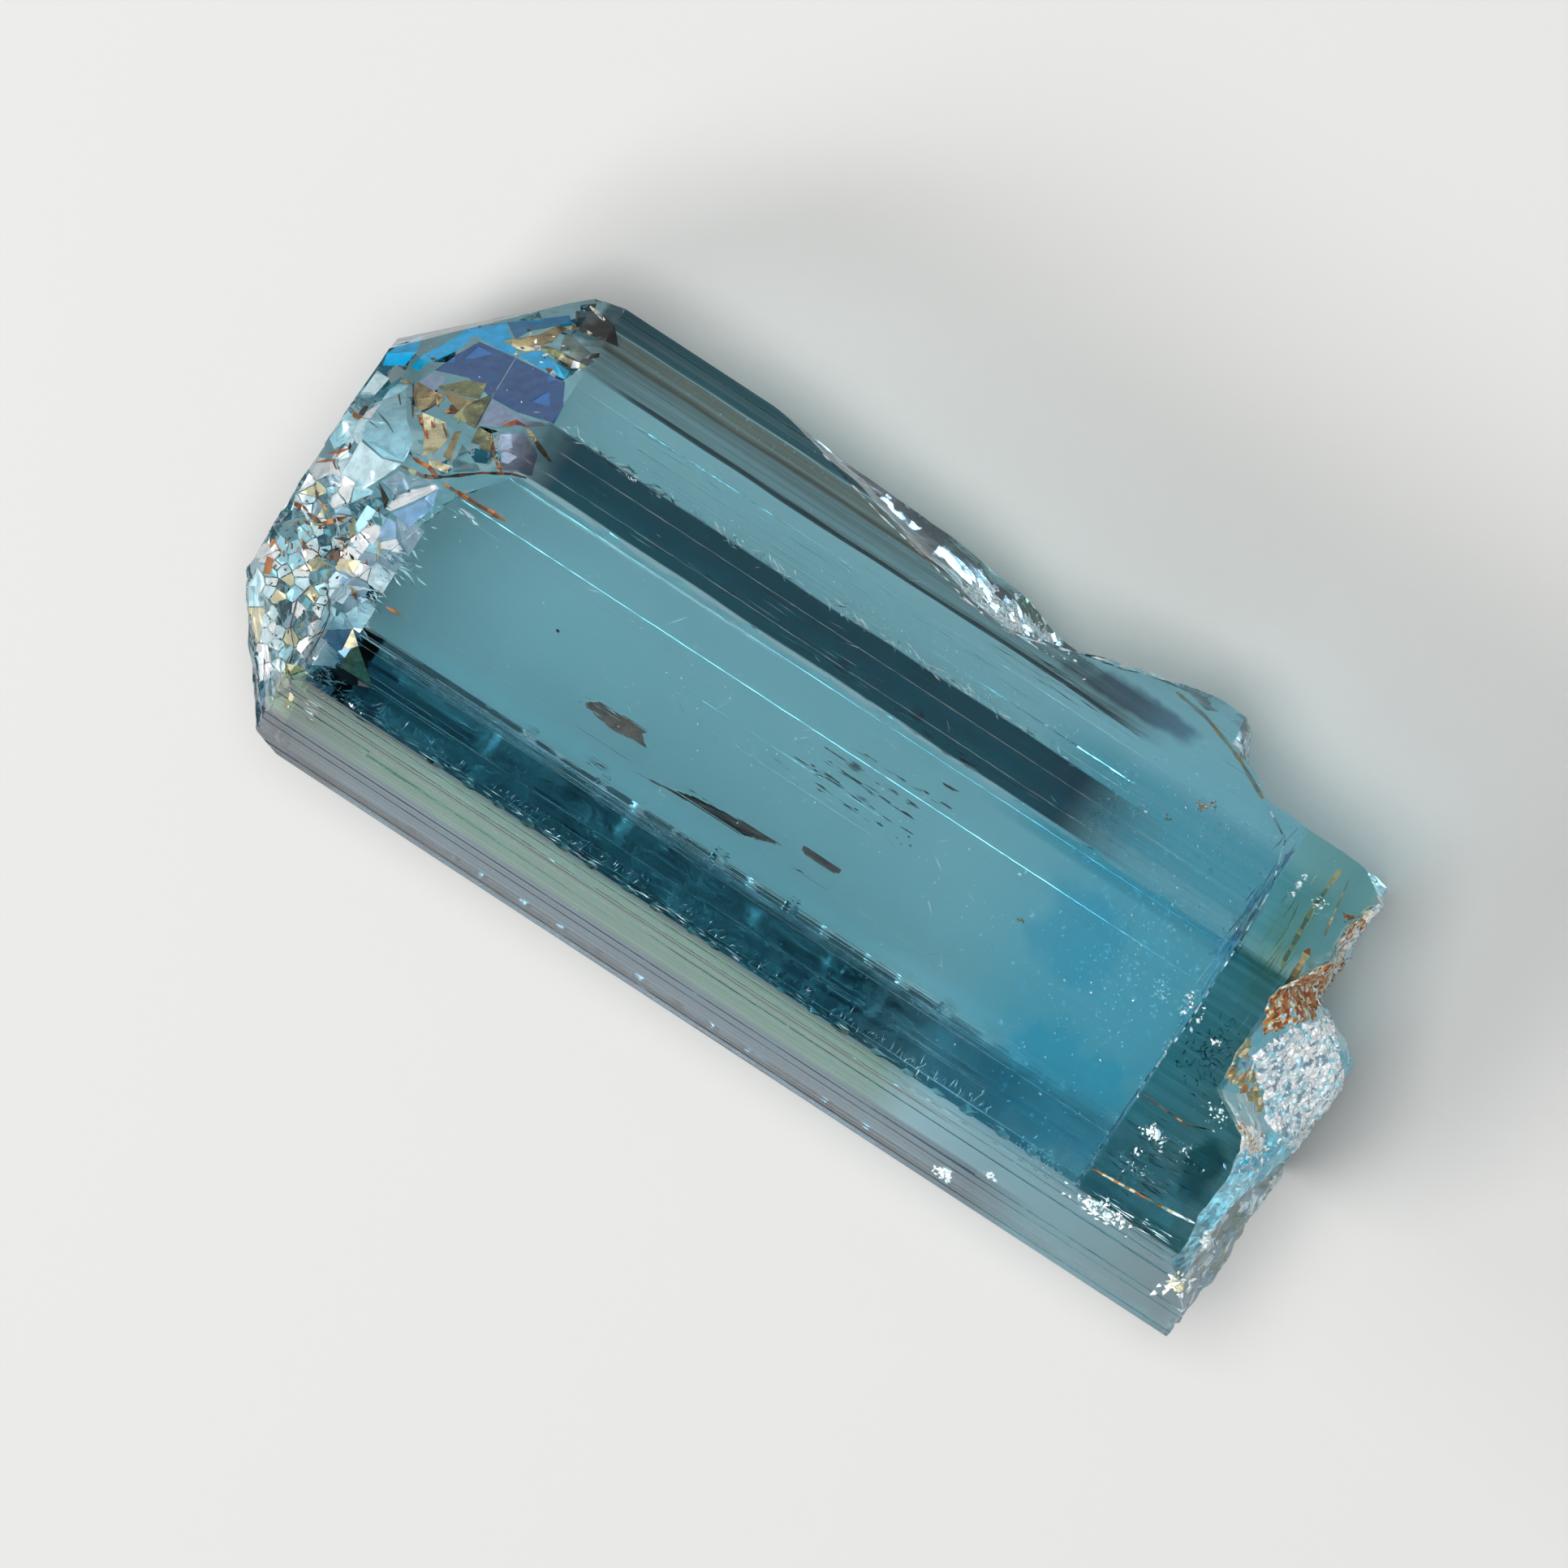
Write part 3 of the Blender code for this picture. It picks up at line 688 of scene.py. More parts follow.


# Facets and films of the end. Their cyan, blue and mauve facets are painted light and painted reflections; the white
# and frost ones are the etched frost

endFacets = {
    # colour, outline, depth
    # Drawn facets: the cyan, deepCyan, blueMauve and mauve ones are painted light, bright lit facets and painted
    # reflections
    "drawn": [
        ("cyan", [(-9.10, 2.95), (-8.60, 3.42), (-8.15, 3.05), (-8.35, 2.97), (-8.75, 2.95)], 0.01),
        ("deepCyan", [(-8.60, 3.42), (-7.80, 4.08), (-7.66, 3.98), (-7.95, 3.75), (-8.20, 3.52), (-8.32, 3.26)], 0.01),
        ("cyan", [(-8.15, 3.05), (-7.85, 3.34), (-7.55, 3.30), (-7.28, 3.30), (-7.25, 3.15), (-7.60, 3.08)], 0.01),
        ("blueMauve", [(-9.15, 2.10), (-9.00, 2.50), (-8.80, 2.90), (-8.15, 3.00), (-8.10, 2.22), (-8.60, 2.30)], 0.01),
        ("blueMauve", [(-8.13, 3.00), (-7.60, 3.06), (-7.22, 3.10), (-7.02, 2.75), (-6.98, 2.42), (-7.60, 2.25),
                       (-8.08, 2.22)], 0.01),
        ("cyan", [(-9.05, 3.05), (-9.18, 2.75), (-9.38, 2.35), (-9.52, 1.95), (-9.40, 1.93), (-9.20, 2.30),
                  (-9.00, 2.65), (-8.92, 3.05)], 0.01),
        ("cyan", [(-9.98, 2.30), (-9.64, 2.52), (-9.58, 2.20), (-9.62, 1.90), (-9.93, 1.70), (-9.98, 1.90)], 0.01),
        ("teal", [(-9.55, 1.75), (-9.50, 1.50), (-9.65, 1.15), (-9.76, 1.15), (-9.66, 1.50)], 0.01),
        ("mauve", [(-9.20, 3.24), (-8.70, 3.52), (-7.62, 4.40), (-7.56, 4.47), (-8.20, 4.02), (-9.00, 3.44)], 0.01),
        ("mauve", [(-9.15, 2.05), (-8.90, 2.10), (-8.95, 1.80), (-9.25, 1.80)], 0.01),
        ("mauve", [(-8.05, 2.18), (-7.60, 2.20), (-7.02, 2.34), (-7.30, 2.15), (-7.65, 1.92), (-8.00, 1.72)], 0.01),
        ("mauve", [(-7.62, 1.80), (-7.30, 2.02), (-6.92, 1.85), (-6.80, 1.50), (-7.25, 1.30), (-7.50, 1.50)], 0.01),
        ("paleCyan", [(-9.62, 1.55), (-9.40, 1.66), (-9.05, 1.15), (-8.75, 0.92), (-8.70, 0.55), (-9.02, 0.42),
                      (-9.50, 0.50), (-9.60, 0.75)], 0.01),
        ("frost", [(-9.02, 0.40), (-8.72, 0.50), (-8.85, 0.15), (-9.05, -0.25), (-9.45, -0.30), (-9.50, 0.45)], 0.01),
        ("frost", [(-9.96, 1.58), (-9.72, 1.58), (-9.76, 1.20), (-9.96, 1.10)], 0.01),
        ("paleCyan", [(-9.96, 0.75), (-9.72, 0.72), (-9.66, 0.40), (-9.80, 0.10), (-9.96, 0.20)], 0.01),
        ("blueGrey", [(-8.68, 0.38), (-8.35, 0.42), (-8.02, 0.58), (-8.42, 0.18), (-8.50, 0.02), (-8.85, 0.07)], 0.01),
        ("white", [(-8.05, 0.52), (-7.96, 0.50), (-8.20, 0.10), (-8.44, -0.25), (-8.53, -0.25), (-8.46, 0.05)], 0.03),
        ("lightBlue", [(-7.96, 0.48), (-8.16, 0.08), (-8.40, -0.26), (-8.02, -0.30), (-7.88, 0.15)], 0.01),
        ("greenGrey", [(-7.65, 3.80), (-7.12, 3.74), (-7.22, 3.52), (-7.60, 3.50)], 0.01),
        ("darkTeal", [(-7.75, 4.20), (-7.45, 4.40), (-7.10, 4.36), (-6.82, 4.08), (-7.05, 4.04), (-7.60, 3.98)], 0.01),
        ("teal", [(-8.05, 1.32), (-7.55, 1.12), (-7.90, 0.85), (-8.00, 0.95)], 0.01),
    ],
    # outline, cell size, gap, share kept, depth, tilt, colours
    "mosaics": [
        ([(-9.98, -0.2), (-9.4, -0.35), (-8.55, -0.3), (-8.6, -1.3), (-8.4, -1.9), (-8.22, -2.4), (-8.2, -3.3),
          (-8.1, -3.6), (-8.4, -3.85), (-8.9, -3.6), (-9.3, -3.2), (-9.7, -2.4), (-9.98, -1.8)],
         0.21, 0.022, 0.86, 0.02, 0.22,
         "white white white frost frost frost paleCyan paleCyan blueGrey cream cream teal"),
        ([(-8.5, -0.3), (-8.0, -0.35), (-7.95, -1.0), (-8.0, -2.0), (-7.85, -2.9), (-7.65, -3.3), (-8.05, -3.5),
          (-8.2, -3.2), (-8.2, -2.3), (-8.45, -1.8), (-8.6, -1.3), (-8.65, -0.8)],
         0.26, 0.012, 0.88, 0.04, 0.20,
         "lightBlue lightBlue paleCyan paleCyan frost blueGrey blueGrey white"),
        ([(-9.98, 1.1), (-9.75, 1.1), (-9.6, 0.6), (-9.5, 0.0), (-9.5, -0.3), (-9.98, -0.3)],
         0.24, 0.015, 0.75, 0.02, 0.15, "white frost frost paleCyan cream"),
        ([(-9.98, -1.9), (-9.7, -2.4), (-9.3, -3.2), (-8.9, -3.6), (-8.95, -3.9), (-9.4, -3.6), (-9.9, -2.6)],
         0.22, 0.02, 0.85, 0.02, 0.15, "white white cream frost paleCyan"),
        ([(-8.9, -3.6), (-8.4, -3.85), (-8.2, -4.2), (-8.6, -4.5), (-8.95, -4.0)],
         0.30, 0.02, 0.80, 0.04, 0.12, "frost lightBlue blueGrey cream"),
    ],
    # along the front face's feathery left edge: strokes
    "fringe": [
        (-7.80, -0.85, 0.30, 0.25, 46, 0.10, 0.38, 0.035, (-35, 35), 0.05, "frost paleCyan paleCyan teal"),
        (-7.90, -1.50, 0.16, 0.50, 46, 0.06, 0.28, 0.025, (-30, 30), 0.05, "frost paleCyan lightBlue"),
        (-7.85, -2.30, 0.18, 0.70, 70, 0.08, 0.34, 0.028, (-50, 30), 0.05, "frost paleCyan lightBlue teal"),
        (-7.80, -3.10, 0.22, 0.40, 44, 0.06, 0.24, 0.025, (-60, 60), 0.04, "white frost lightBlue"),
        (-7.20, -3.18, 0.50, 0.14, 30, 0.06, 0.30, 0.022, (-20, 60), 0.04, "white frost teal"),
        (-7.80, 0.10, 0.30, 0.60, 16, 0.05, 0.16, 0.030, (-30, 30), 0.05, "frost paleCyan"),
        (-7.30, 0.40, 0.22, 0.08, 6, 0.10, 0.25, 0.040, (-10, 10), 0.05, "frost paleCyan"),
    ],
}


def makeEndFacets():
    rng = random.Random(31)
    bm = newPiece()
    for name, outline, depth in endFacets["drawn"]:
        addSeen(bm, outline, depth, 0.02, shades[name])
    for row in endFacets["mosaics"]:
        addMosaic(bm, rng, *row)
    for row in endFacets["fringe"]:
        addStrokes(bm, rng, *row)
    toObject("endFacets", bm, stainMaterial("facetFilmAndPaintedLight", 0.22, 5.0, 0.86))


makeEndFacets()

# Rust in the etched end: flakes, rods and openings

rustLook = {
    # colour, outline, depth
    "flakes": [
        ("tan", [(-9.30, 1.78), (-8.75, 1.82), (-8.75, 1.68), (-9.00, 1.38), (-9.15, 1.50)]),
        ("olive", [(-8.95, 1.90), (-8.60, 2.25), (-8.30, 2.38), (-8.25, 2.10), (-8.55, 1.97)]),
        ("tan", [(-8.93, 1.90), (-8.55, 1.95), (-8.28, 2.05), (-8.45, 1.75), (-8.62, 1.80)]),
        ("olive", [(-8.40, 1.85), (-8.13, 2.28), (-8.08, 2.20), (-8.02, 1.65), (-8.45, 1.62)]),
        ("cream", [(-8.92, 1.40), (-8.50, 1.47), (-8.30, 1.30), (-8.35, 0.95), (-8.50, 0.80), (-8.70, 1.15)]),
        ("tan", [(-8.28, 1.42), (-8.19, 1.50), (-8.10, 1.10), (-8.05, 0.95), (-8.20, 0.98)]),
        ("olive", [(-8.00, 1.70), (-7.72, 1.72), (-7.60, 1.45), (-7.95, 1.42)]),
        ("cream", [(-8.38, 0.80), (-8.02, 0.92), (-7.98, 0.78), (-8.30, 0.72)]),
        ("tan", [(-8.42, 3.18), (-8.05, 3.52), (-7.85, 3.85), (-7.72, 3.88), (-7.78, 3.55), (-8.00, 3.30)]),
        ("cream", [(-7.90, -2.20), (-7.55, -2.48), (-7.10, -2.82), (-7.70, -2.83), (-7.85, -2.60)]),
        ("brown", [(-8.60, 1.76), (-8.45, 1.84), (-8.40, 1.70), (-8.55, 1.60)]),
        ("brown", [(-8.92, -1.30), (-8.82, -1.25), (-8.68, -1.30), (-8.72, -1.42), (-8.86, -1.42)]),
        ("brown", [(-9.42, -1.44), (-9.05, -1.44), (-9.05, -1.52), (-9.30, -1.60)]),
        ("orange", [(-9.88, -1.70), (-9.68, -1.68), (-9.62, -1.80), (-9.82, -1.84)]),
        ("orange", [(-9.78, -1.98), (-9.66, -1.96), (-9.58, -2.22), (-9.68, -2.26)]),
        ("soot", [(-9.80, 1.00), (-9.72, 0.99), (-9.70, 0.82), (-9.78, 0.78)]),
        ("orange", [(-9.88, 0.80), (-9.70, 0.80), (-9.74, 0.70), (-9.86, 0.72)]),
        ("soot", [(-8.42, 2.52), (-8.30, 2.54), (-8.32, 2.42), (-8.48, 2.28), (-8.42, 2.42)]),
        ("soot", [(-8.15, 2.38), (-8.09, 2.36), (-8.12, 2.24)]),
        ("soot", [(-7.12, 3.72), (-7.02, 3.82), (-6.99, 3.76), (-7.10, 3.58)]),
        ("soot", [(-8.87, 0.04), (-8.76, 0.00), (-8.56, -0.10), (-8.53, -0.28)]),
        ("soot", [(-9.64, 0.34), (-9.58, 0.30), (-9.57, 0.22), (-9.62, 0.26)]),
        ("soot", [(-7.80, -2.86), (-7.12, -2.85), (-7.60, -3.05)]),
    ],
    # line, width, colours
    "rods": [
        ([(-7.95, 0.60), (-6.74, 0.65)], 0.09, "brown orange brown umber"),
        ([(-8.62, 0.69), (-8.30, 0.70), (-8.08, 0.64)], 0.08, "brown orange soot"),
        ([(-8.70, 0.47), (-8.30, 0.52), (-8.02, 0.66)], 0.07, "olive brown umber"),
        ([(-8.38, 0.50), (-8.00, 0.70), (-7.50, 1.10), (-7.10, 1.34), (-6.85, 1.42)], 0.055, "soot umber brown"),
        ([(-9.34, 1.76), (-9.05, 1.32), (-8.99, 1.24)], 0.05, "brown soot umber"),
        ([(-8.95, 1.32), (-8.78, 1.24), (-8.58, 1.08)], 0.09, "rust orange brown"),
        ([(-8.93, 1.38), (-8.74, 1.76)], 0.035, "soot umber"),
        ([(-8.09, 2.22), (-8.03, 1.66)], 0.03, "darkTeal umber"),
        ([(-8.55, 1.45), (-8.34, 1.28)], 0.03, "umber"),
        ([(-7.68, 1.92), (-7.52, 2.10), (-7.35, 2.14)], 0.08, "brown orange rust"),
        ([(-7.32, 2.12), (-6.95, 1.96), (-6.66, 1.86)], 0.08, "olive orange tan"),
        ([(-7.76, 1.70), (-7.50, 1.42), (-7.22, 1.27)], 0.07, "orange brown rust"),
        ([(-9.46, 1.48), (-9.29, 1.31)], 0.05, "brown umber"),
        ([(-9.52, 1.00), (-9.30, 0.94), (-9.12, 0.86)], 0.025, "darkTeal teal"),
        ([(-9.58, 0.80), (-9.38, 0.79)], 0.03, "teal"),
        ([(-9.36, 0.52), (-9.25, 0.57)], 0.025, "teal"),
        ([(-8.46, 3.14), (-8.10, 3.24), (-7.78, 3.42), (-7.30, 3.42), (-7.08, 3.52)], 0.12, "cream tan white olive"),
        ([(-7.62, 3.13), (-7.30, 3.10)], 0.09, "brown cream white"),
        ([(-7.75, 3.88), (-7.55, 3.98), (-7.05, 4.06)], 0.07, "tan cream umber"),
        ([(-7.60, 4.40), (-7.26, 4.33)], 0.10, "white cream umber"),
        ([(-9.92, -1.00), (-9.60, -0.99)], 0.09, "orange brown rust"),
        ([(-9.60, -1.02), (-9.30, -1.05), (-9.15, -0.90), (-9.00, -0.72)], 0.08, "orange brown umber"),
        ([(-9.66, -1.18), (-9.45, -1.15), (-9.25, -1.02)], 0.05, "olive umber"),
        ([(-9.58, -0.74), (-9.35, -0.80), (-9.22, -0.92)], 0.04, "orange tan"),
        ([(-9.85, -0.02), (-9.70, 0.12), (-9.60, 0.24)], 0.05, "rust orange"),
        ([(-9.94, -0.24), (-9.72, -0.06), (-9.58, -0.16)], 0.05, "brown umber orange"),
        ([(-8.97, -1.12), (-8.84, -1.06), (-8.72, -0.98)], 0.06, "brown umber"),
        ([(-9.18, -1.88), (-9.02, -1.78), (-8.96, -1.55)], 0.05, "orange brown tan"),
        ([(-8.85, -1.55), (-8.72, -1.70)], 0.05, "umber olive"),
        ([(-8.34, -0.72), (-8.26, -0.85), (-8.18, -1.03)], 0.05, "brown tan"),
        ([(-7.62, -1.60), (-7.30, -1.57)], 0.06, "olive orange"),
        ([(-8.30, -1.64), (-8.10, -1.76)], 0.08, "brown tan"),
        ([(-8.90, -2.0), (-8.60, -1.9), (-8.35, -2.2), (-8.28, -2.5), (-8.55, -3.0), (-8.80, -2.72), (-8.95, -2.3),
          (-8.88, -2.0)], 0.022, "umber darkTeal"),
        ([(-8.55, -3.0), (-8.45, -3.3)], 0.02, "umber darkTeal"),
        ([(-8.28, -2.5), (-8.25, -3.1)], 0.02, "umber soot"),
    ],
    "scattered": [
        (-8.80, 1.60, 0.60, 0.55, 16, 0.015, 0.06, 2.6, -0.01, 0.04, "brown umber orange tan"),
        (-9.55, -1.30, 0.35, 1.10, 46, 0.012, 0.05, 2.6, -0.01, 0.03, "brown umber orange olive"),
        (-8.80, -1.40, 0.40, 1.10, 70, 0.010, 0.045, 2.6, -0.01, 0.03, "brown umber soot orange"),
        (-8.60, -3.00, 0.35, 0.60, 34, 0.010, 0.035, 2.6, -0.01, 0.03, "umber soot olive"),
        (-7.90, 3.40, 0.50, 0.50, 20, 0.012, 0.05, 2.0, -0.01, 0.03, "umber tan white cream"),
    ],
}


def makeRust():
    rng = random.Random(4)
    bm = newPiece()
    for name, outline in rustLook["flakes"]:
        addSeen(bm, outline, 0.012, 0.02, shades[name], (rng.uniform(-0.1, 0.1), rng.uniform(-0.1, 0.1)))
    for line, width, names in rustLook["rods"]:
        addRibbon(bm, rng, line, width, 0.0, names)
    for row in rustLook["scattered"]:
        addChipCloud(bm, rng, *row)
    toObject("rustFlakes", bm, stainMaterial("rustStain", 0.50, 4.0, 0.45))


makeRust()

# Dark fissures, tubes and a brown flake inside

fissureLook = {
    # colour, outline, depth
    "leaves": [
        ("ink", [(-2.78, -1.65), (-2.15, -1.55), (-1.65, -1.43), (-0.76, -1.345), (-0.03, -1.31),
                 (-0.40, -1.44), (-0.76, -1.54), (-1.65, -1.555), (-2.15, -1.585)], 1.6),
        ("ink", [(0.236, -1.13), (0.30, -1.115), (0.90, -1.115), (0.976, -1.13), (0.976, -1.19),
                 (0.88, -1.235), (0.36, -1.24), (0.25, -1.20)], 1.4),
        ("ink", [(1.55, 0.985), (1.66, 1.00), (1.90, 1.01), (1.80, 0.97), (1.66, 0.955)], 1.2),
        ("ink", [(-5.11, -0.37), (-5.05, -0.36), (-5.03, -0.40), (-5.08, -0.42)], 1.0),
        ("umber", [(-4.05, -1.12), (-3.85, -0.98), (-3.30, -0.965), (-2.92, -0.97), (-3.00, -1.05),
                   (-2.80, -1.20), (-3.05, -1.20), (-3.40, -1.26), (-3.80, -1.21)], 1.8),
    ],
    "strokes": [
        (0.45, 0.42, 1.05, 0.05, 16, 0.12, 0.42, 0.022, (-3, 3), 1.8, "ink ink darkTeal"),
        (0.45, 0.22, 1.15, 0.05, 18, 0.12, 0.46, 0.022, (-3, 3), 1.8, "ink ink darkTeal"),
        (0.35, 0.02, 1.25, 0.05, 20, 0.12, 0.50, 0.022, (-3, 3), 1.8, "ink ink darkTeal"),
        (0.40, -0.18, 1.00, 0.04, 14, 0.10, 0.40, 0.022, (-3, 3), 1.8, "ink ink darkTeal"),
        (0.95, 0.66, 0.80, 0.04, 10, 0.10, 0.36, 0.022, (-2, 6), 1.8, "ink darkTeal"),
        (-1.00, -1.42, 0.90, 0.10, 12, 0.10, 0.50, 0.016, (5, 14), 1.5, "umber darkTeal"),
        (-3.35, -1.85, 0.35, 0.12, 10, 0.15, 0.45, 0.020, (-3, 3), 1.9, "umber blueGrey"),
        (1.55, -0.18, 0.20, 0.12, 4, 0.06, 0.12, 0.030, (-5, 5), 1.2, "ink"),
        (-3.80, -1.10, 0.45, 0.10, 14, 0.12, 0.45, 0.020, (-3, 3), 1.7, "umber blueGrey"),
    ],
}


def makeFissures():
    rng = random.Random(12)
    bm = newPiece()
    for name, outline, depth in fissureLook["leaves"]:
        addSeen(bm, outline, depth, 0.03, shades[name])
    for row in fissureLook["strokes"]:
        addStrokes(bm, rng, *row)
    toObject("darkFissures", bm, stainMaterial("fissureDark", 0.30, 5.0, 0.4))


makeFissures()
print("facets, rust and fissures ready")


# Crusts: thin grainy shells that hug the broken and etched surfaces

crusts = {
    "sugaryCrust": {
        "outline": [(8.85, 1.05), (8.50, 0.60), (8.30, 0.05), (8.35, -0.10), (8.75, -0.35), (9.10, -0.80),
                    (9.50, -0.85), (9.85, -0.95), (10.1, -0.70), (10.1, 0.10), (9.75, 0.60), (9.0, 1.35)],
        "colors": "white white white frost frost paleCyan blueGrey",
        "rise": 0.045, "grain": 0.050, "cell": 0.10, "keep": 1.3, "roughness": 0.32,
    },
    "rustCrust": {
        "outline": [(8.05, 2.0), (8.2, 2.6), (8.3, 3.0), (8.7, 2.9), (8.6, 2.3), (8.9, 2.2), (8.9, 1.6),
                    (8.8, 1.1), (8.5, 0.7), (8.2, 0.4), (8.0, 0.9), (7.95, 1.6)],
        "colors": "orange orange rust brown tan cream frost",
        "rise": 0.015, "grain": 0.030, "cell": 0.09, "keep": 0.62, "roughness": 0.45,
    },
    "ochreCrust": {
        "outline": [(7.8, 0.1), (8.1, 0.25), (8.3, -0.1), (8.8, -0.4), (8.95, -0.7), (8.6, -0.6),
                    (8.1, -0.5), (7.8, -0.2)],
        "colors": "olive olive tan orange greenGrey cream",
        "rise": 0.015, "grain": 0.025, "cell": 0.10, "keep": 0.60, "roughness": 0.5,
    },
    "sparklingCrust": {
        "outline": [(8.2, 3.4), (8.9, 3.35), (9.15, 2.4), (9.1, 1.5), (8.75, 1.3), (8.55, 1.9), (8.4, 2.6)],
        "colors": "white white frost blueGrey cream",
        "rise": 0.012, "grain": 0.035, "cell": 0.08, "keep": 0.55, "roughness": 0.2,
    },
    "whiteCrust": {
        "outline": [(8.35, -1.38), (8.7, -1.02), (9.1, -0.92), (9.3, -1.2), (8.9, -1.48)],
        "colors": "white white cream frost orange",
        "rise": 0.015, "grain": 0.03, "cell": 0.08, "keep": 0.8, "roughness": 0.3,
    },
    "paleFracture": {
        "outline": [(9.80, -0.95), (10.1, -1.5), (10.1, -2.5), (10.0, -4.2), (9.5, -4.2), (9.30, -3.0),
                    (9.40, -2.2), (9.60, -1.6)],
        "colors": "blueGrey blueGrey frost greenGrey",
        "rise": 0.008, "grain": 0.015, "cell": 0.22, "keep": 0.85, "roughness": 0.35,
    },
    "chipSugar": {
        "outline": [(0.1, 3.72), (1.1, 3.58), (2.1, 3.88), (2.2, 4.35), (1.2, 4.35), (0.2, 4.15)],
        "colors": "white frost paleCyan blueGrey",
        "rise": 0.006, "grain": 0.02, "cell": 0.07, "keep": 0.42, "roughness": 0.25,
    },
    "lipFrost": {
        "outline": [(5.25, 4.0), (5.25, 4.6), (5.65, 4.6), (5.65, 4.0)],
        "colors": "frost paleCyan blueGrey",
        "rise": 0.006, "grain": 0.02, "cell": 0.08, "keep": 0.42, "roughness": 0.3,
    },
}


# Patchy cover: true where a crust of this share has grown
def isCovered(centre, keep, seed):
    patch = noise.noise(centre / (0.30 * mm) + Vector((seed * 5.0, 0, 0))) * 0.5 + 0.5
    patch += noise.noise(centre / (0.11 * mm) + Vector((0, seed * 5.0, 0))) * 0.25
    return patch <= keep * 1.15


def belongsTo(face, look, seed):
    centre = face.calc_center_median()
    across = centre - axis
    return (
        face.normal.dot(viewBack) > 0.02
        and insideOutline(across.x / mm, across.dot(viewUp) / mm, look["outline"])
        and prismFaceOf(centre, face.normal) is None
        and isCovered(centre, look["keep"], seed)
    )


def colorGrains(bm, look, seed):
    hue = bm.faces.layers.float_color["hue"]
    for face in bm.faces:
        spot = face.calc_center_median() / (look["cell"] * mm) + Vector((seed, 0, 0))
        grain = noise.voronoi(spot)[1][0]
        face[hue] = (*pick(random.Random(str(grain.to_tuple(3))), look["colors"]), 1)


def makeCrust(name, look, seed):
    bm = bmesh.new()
    bm.from_mesh(crystal.data)
    bm.faces.layers.float_color.new("hue")
    gone = [face for face in bm.faces if not belongsTo(face, look, seed)]
    bmesh.ops.delete(bm, geom=gone, context="FACES")
    if not bm.faces:
        bm.free()
        return
    refine(bm, look["cell"] * mm * 0.5)
    bm.normal_update()
    colorGrains(bm, look, seed)
    starts = {vert: (vert.co.copy(), vert.normal.copy()) for vert in bm.verts}
    ground = {vert: bm.verts.new(spot - normal * 0.02 * mm) for vert, (spot, normal) in starts.items()}
    for vert, (spot, normal) in starts.items():
        rough = facetRelief(spot, look["cell"] * mm, seed) + 0.4 * noise.noise(spot / (0.05 * mm))
        edge = 0.15 if vert.is_boundary else 1.0
        lift = (look["rise"] + rough * look["grain"]) * edge
        vert.co = spot + normal * max(0.002, lift) * mm
    rims = [edge for edge in bm.edges if edge.is_boundary and edge.verts[0] in starts]
    for face in bm.faces[:]:
        face.smooth = False
        under = [ground[vert] for vert in reversed(face.verts)]
        if bm.faces.get(under) is None:
            bm.faces.new(under)
    for edge in rims:
        loop = edge.link_loops[0]
        a, b = loop.vert, loop.link_loop_next.vert
        bm.faces.new((b, a, ground[a], ground[b]))
    toObject(name, bm, stainMaterial(name, look["roughness"], 9.0, 0.7))


for seed, (name, look) in enumerate(crusts.items()):
    makeCrust(name, look, seed + 1)
print("crusts ready")
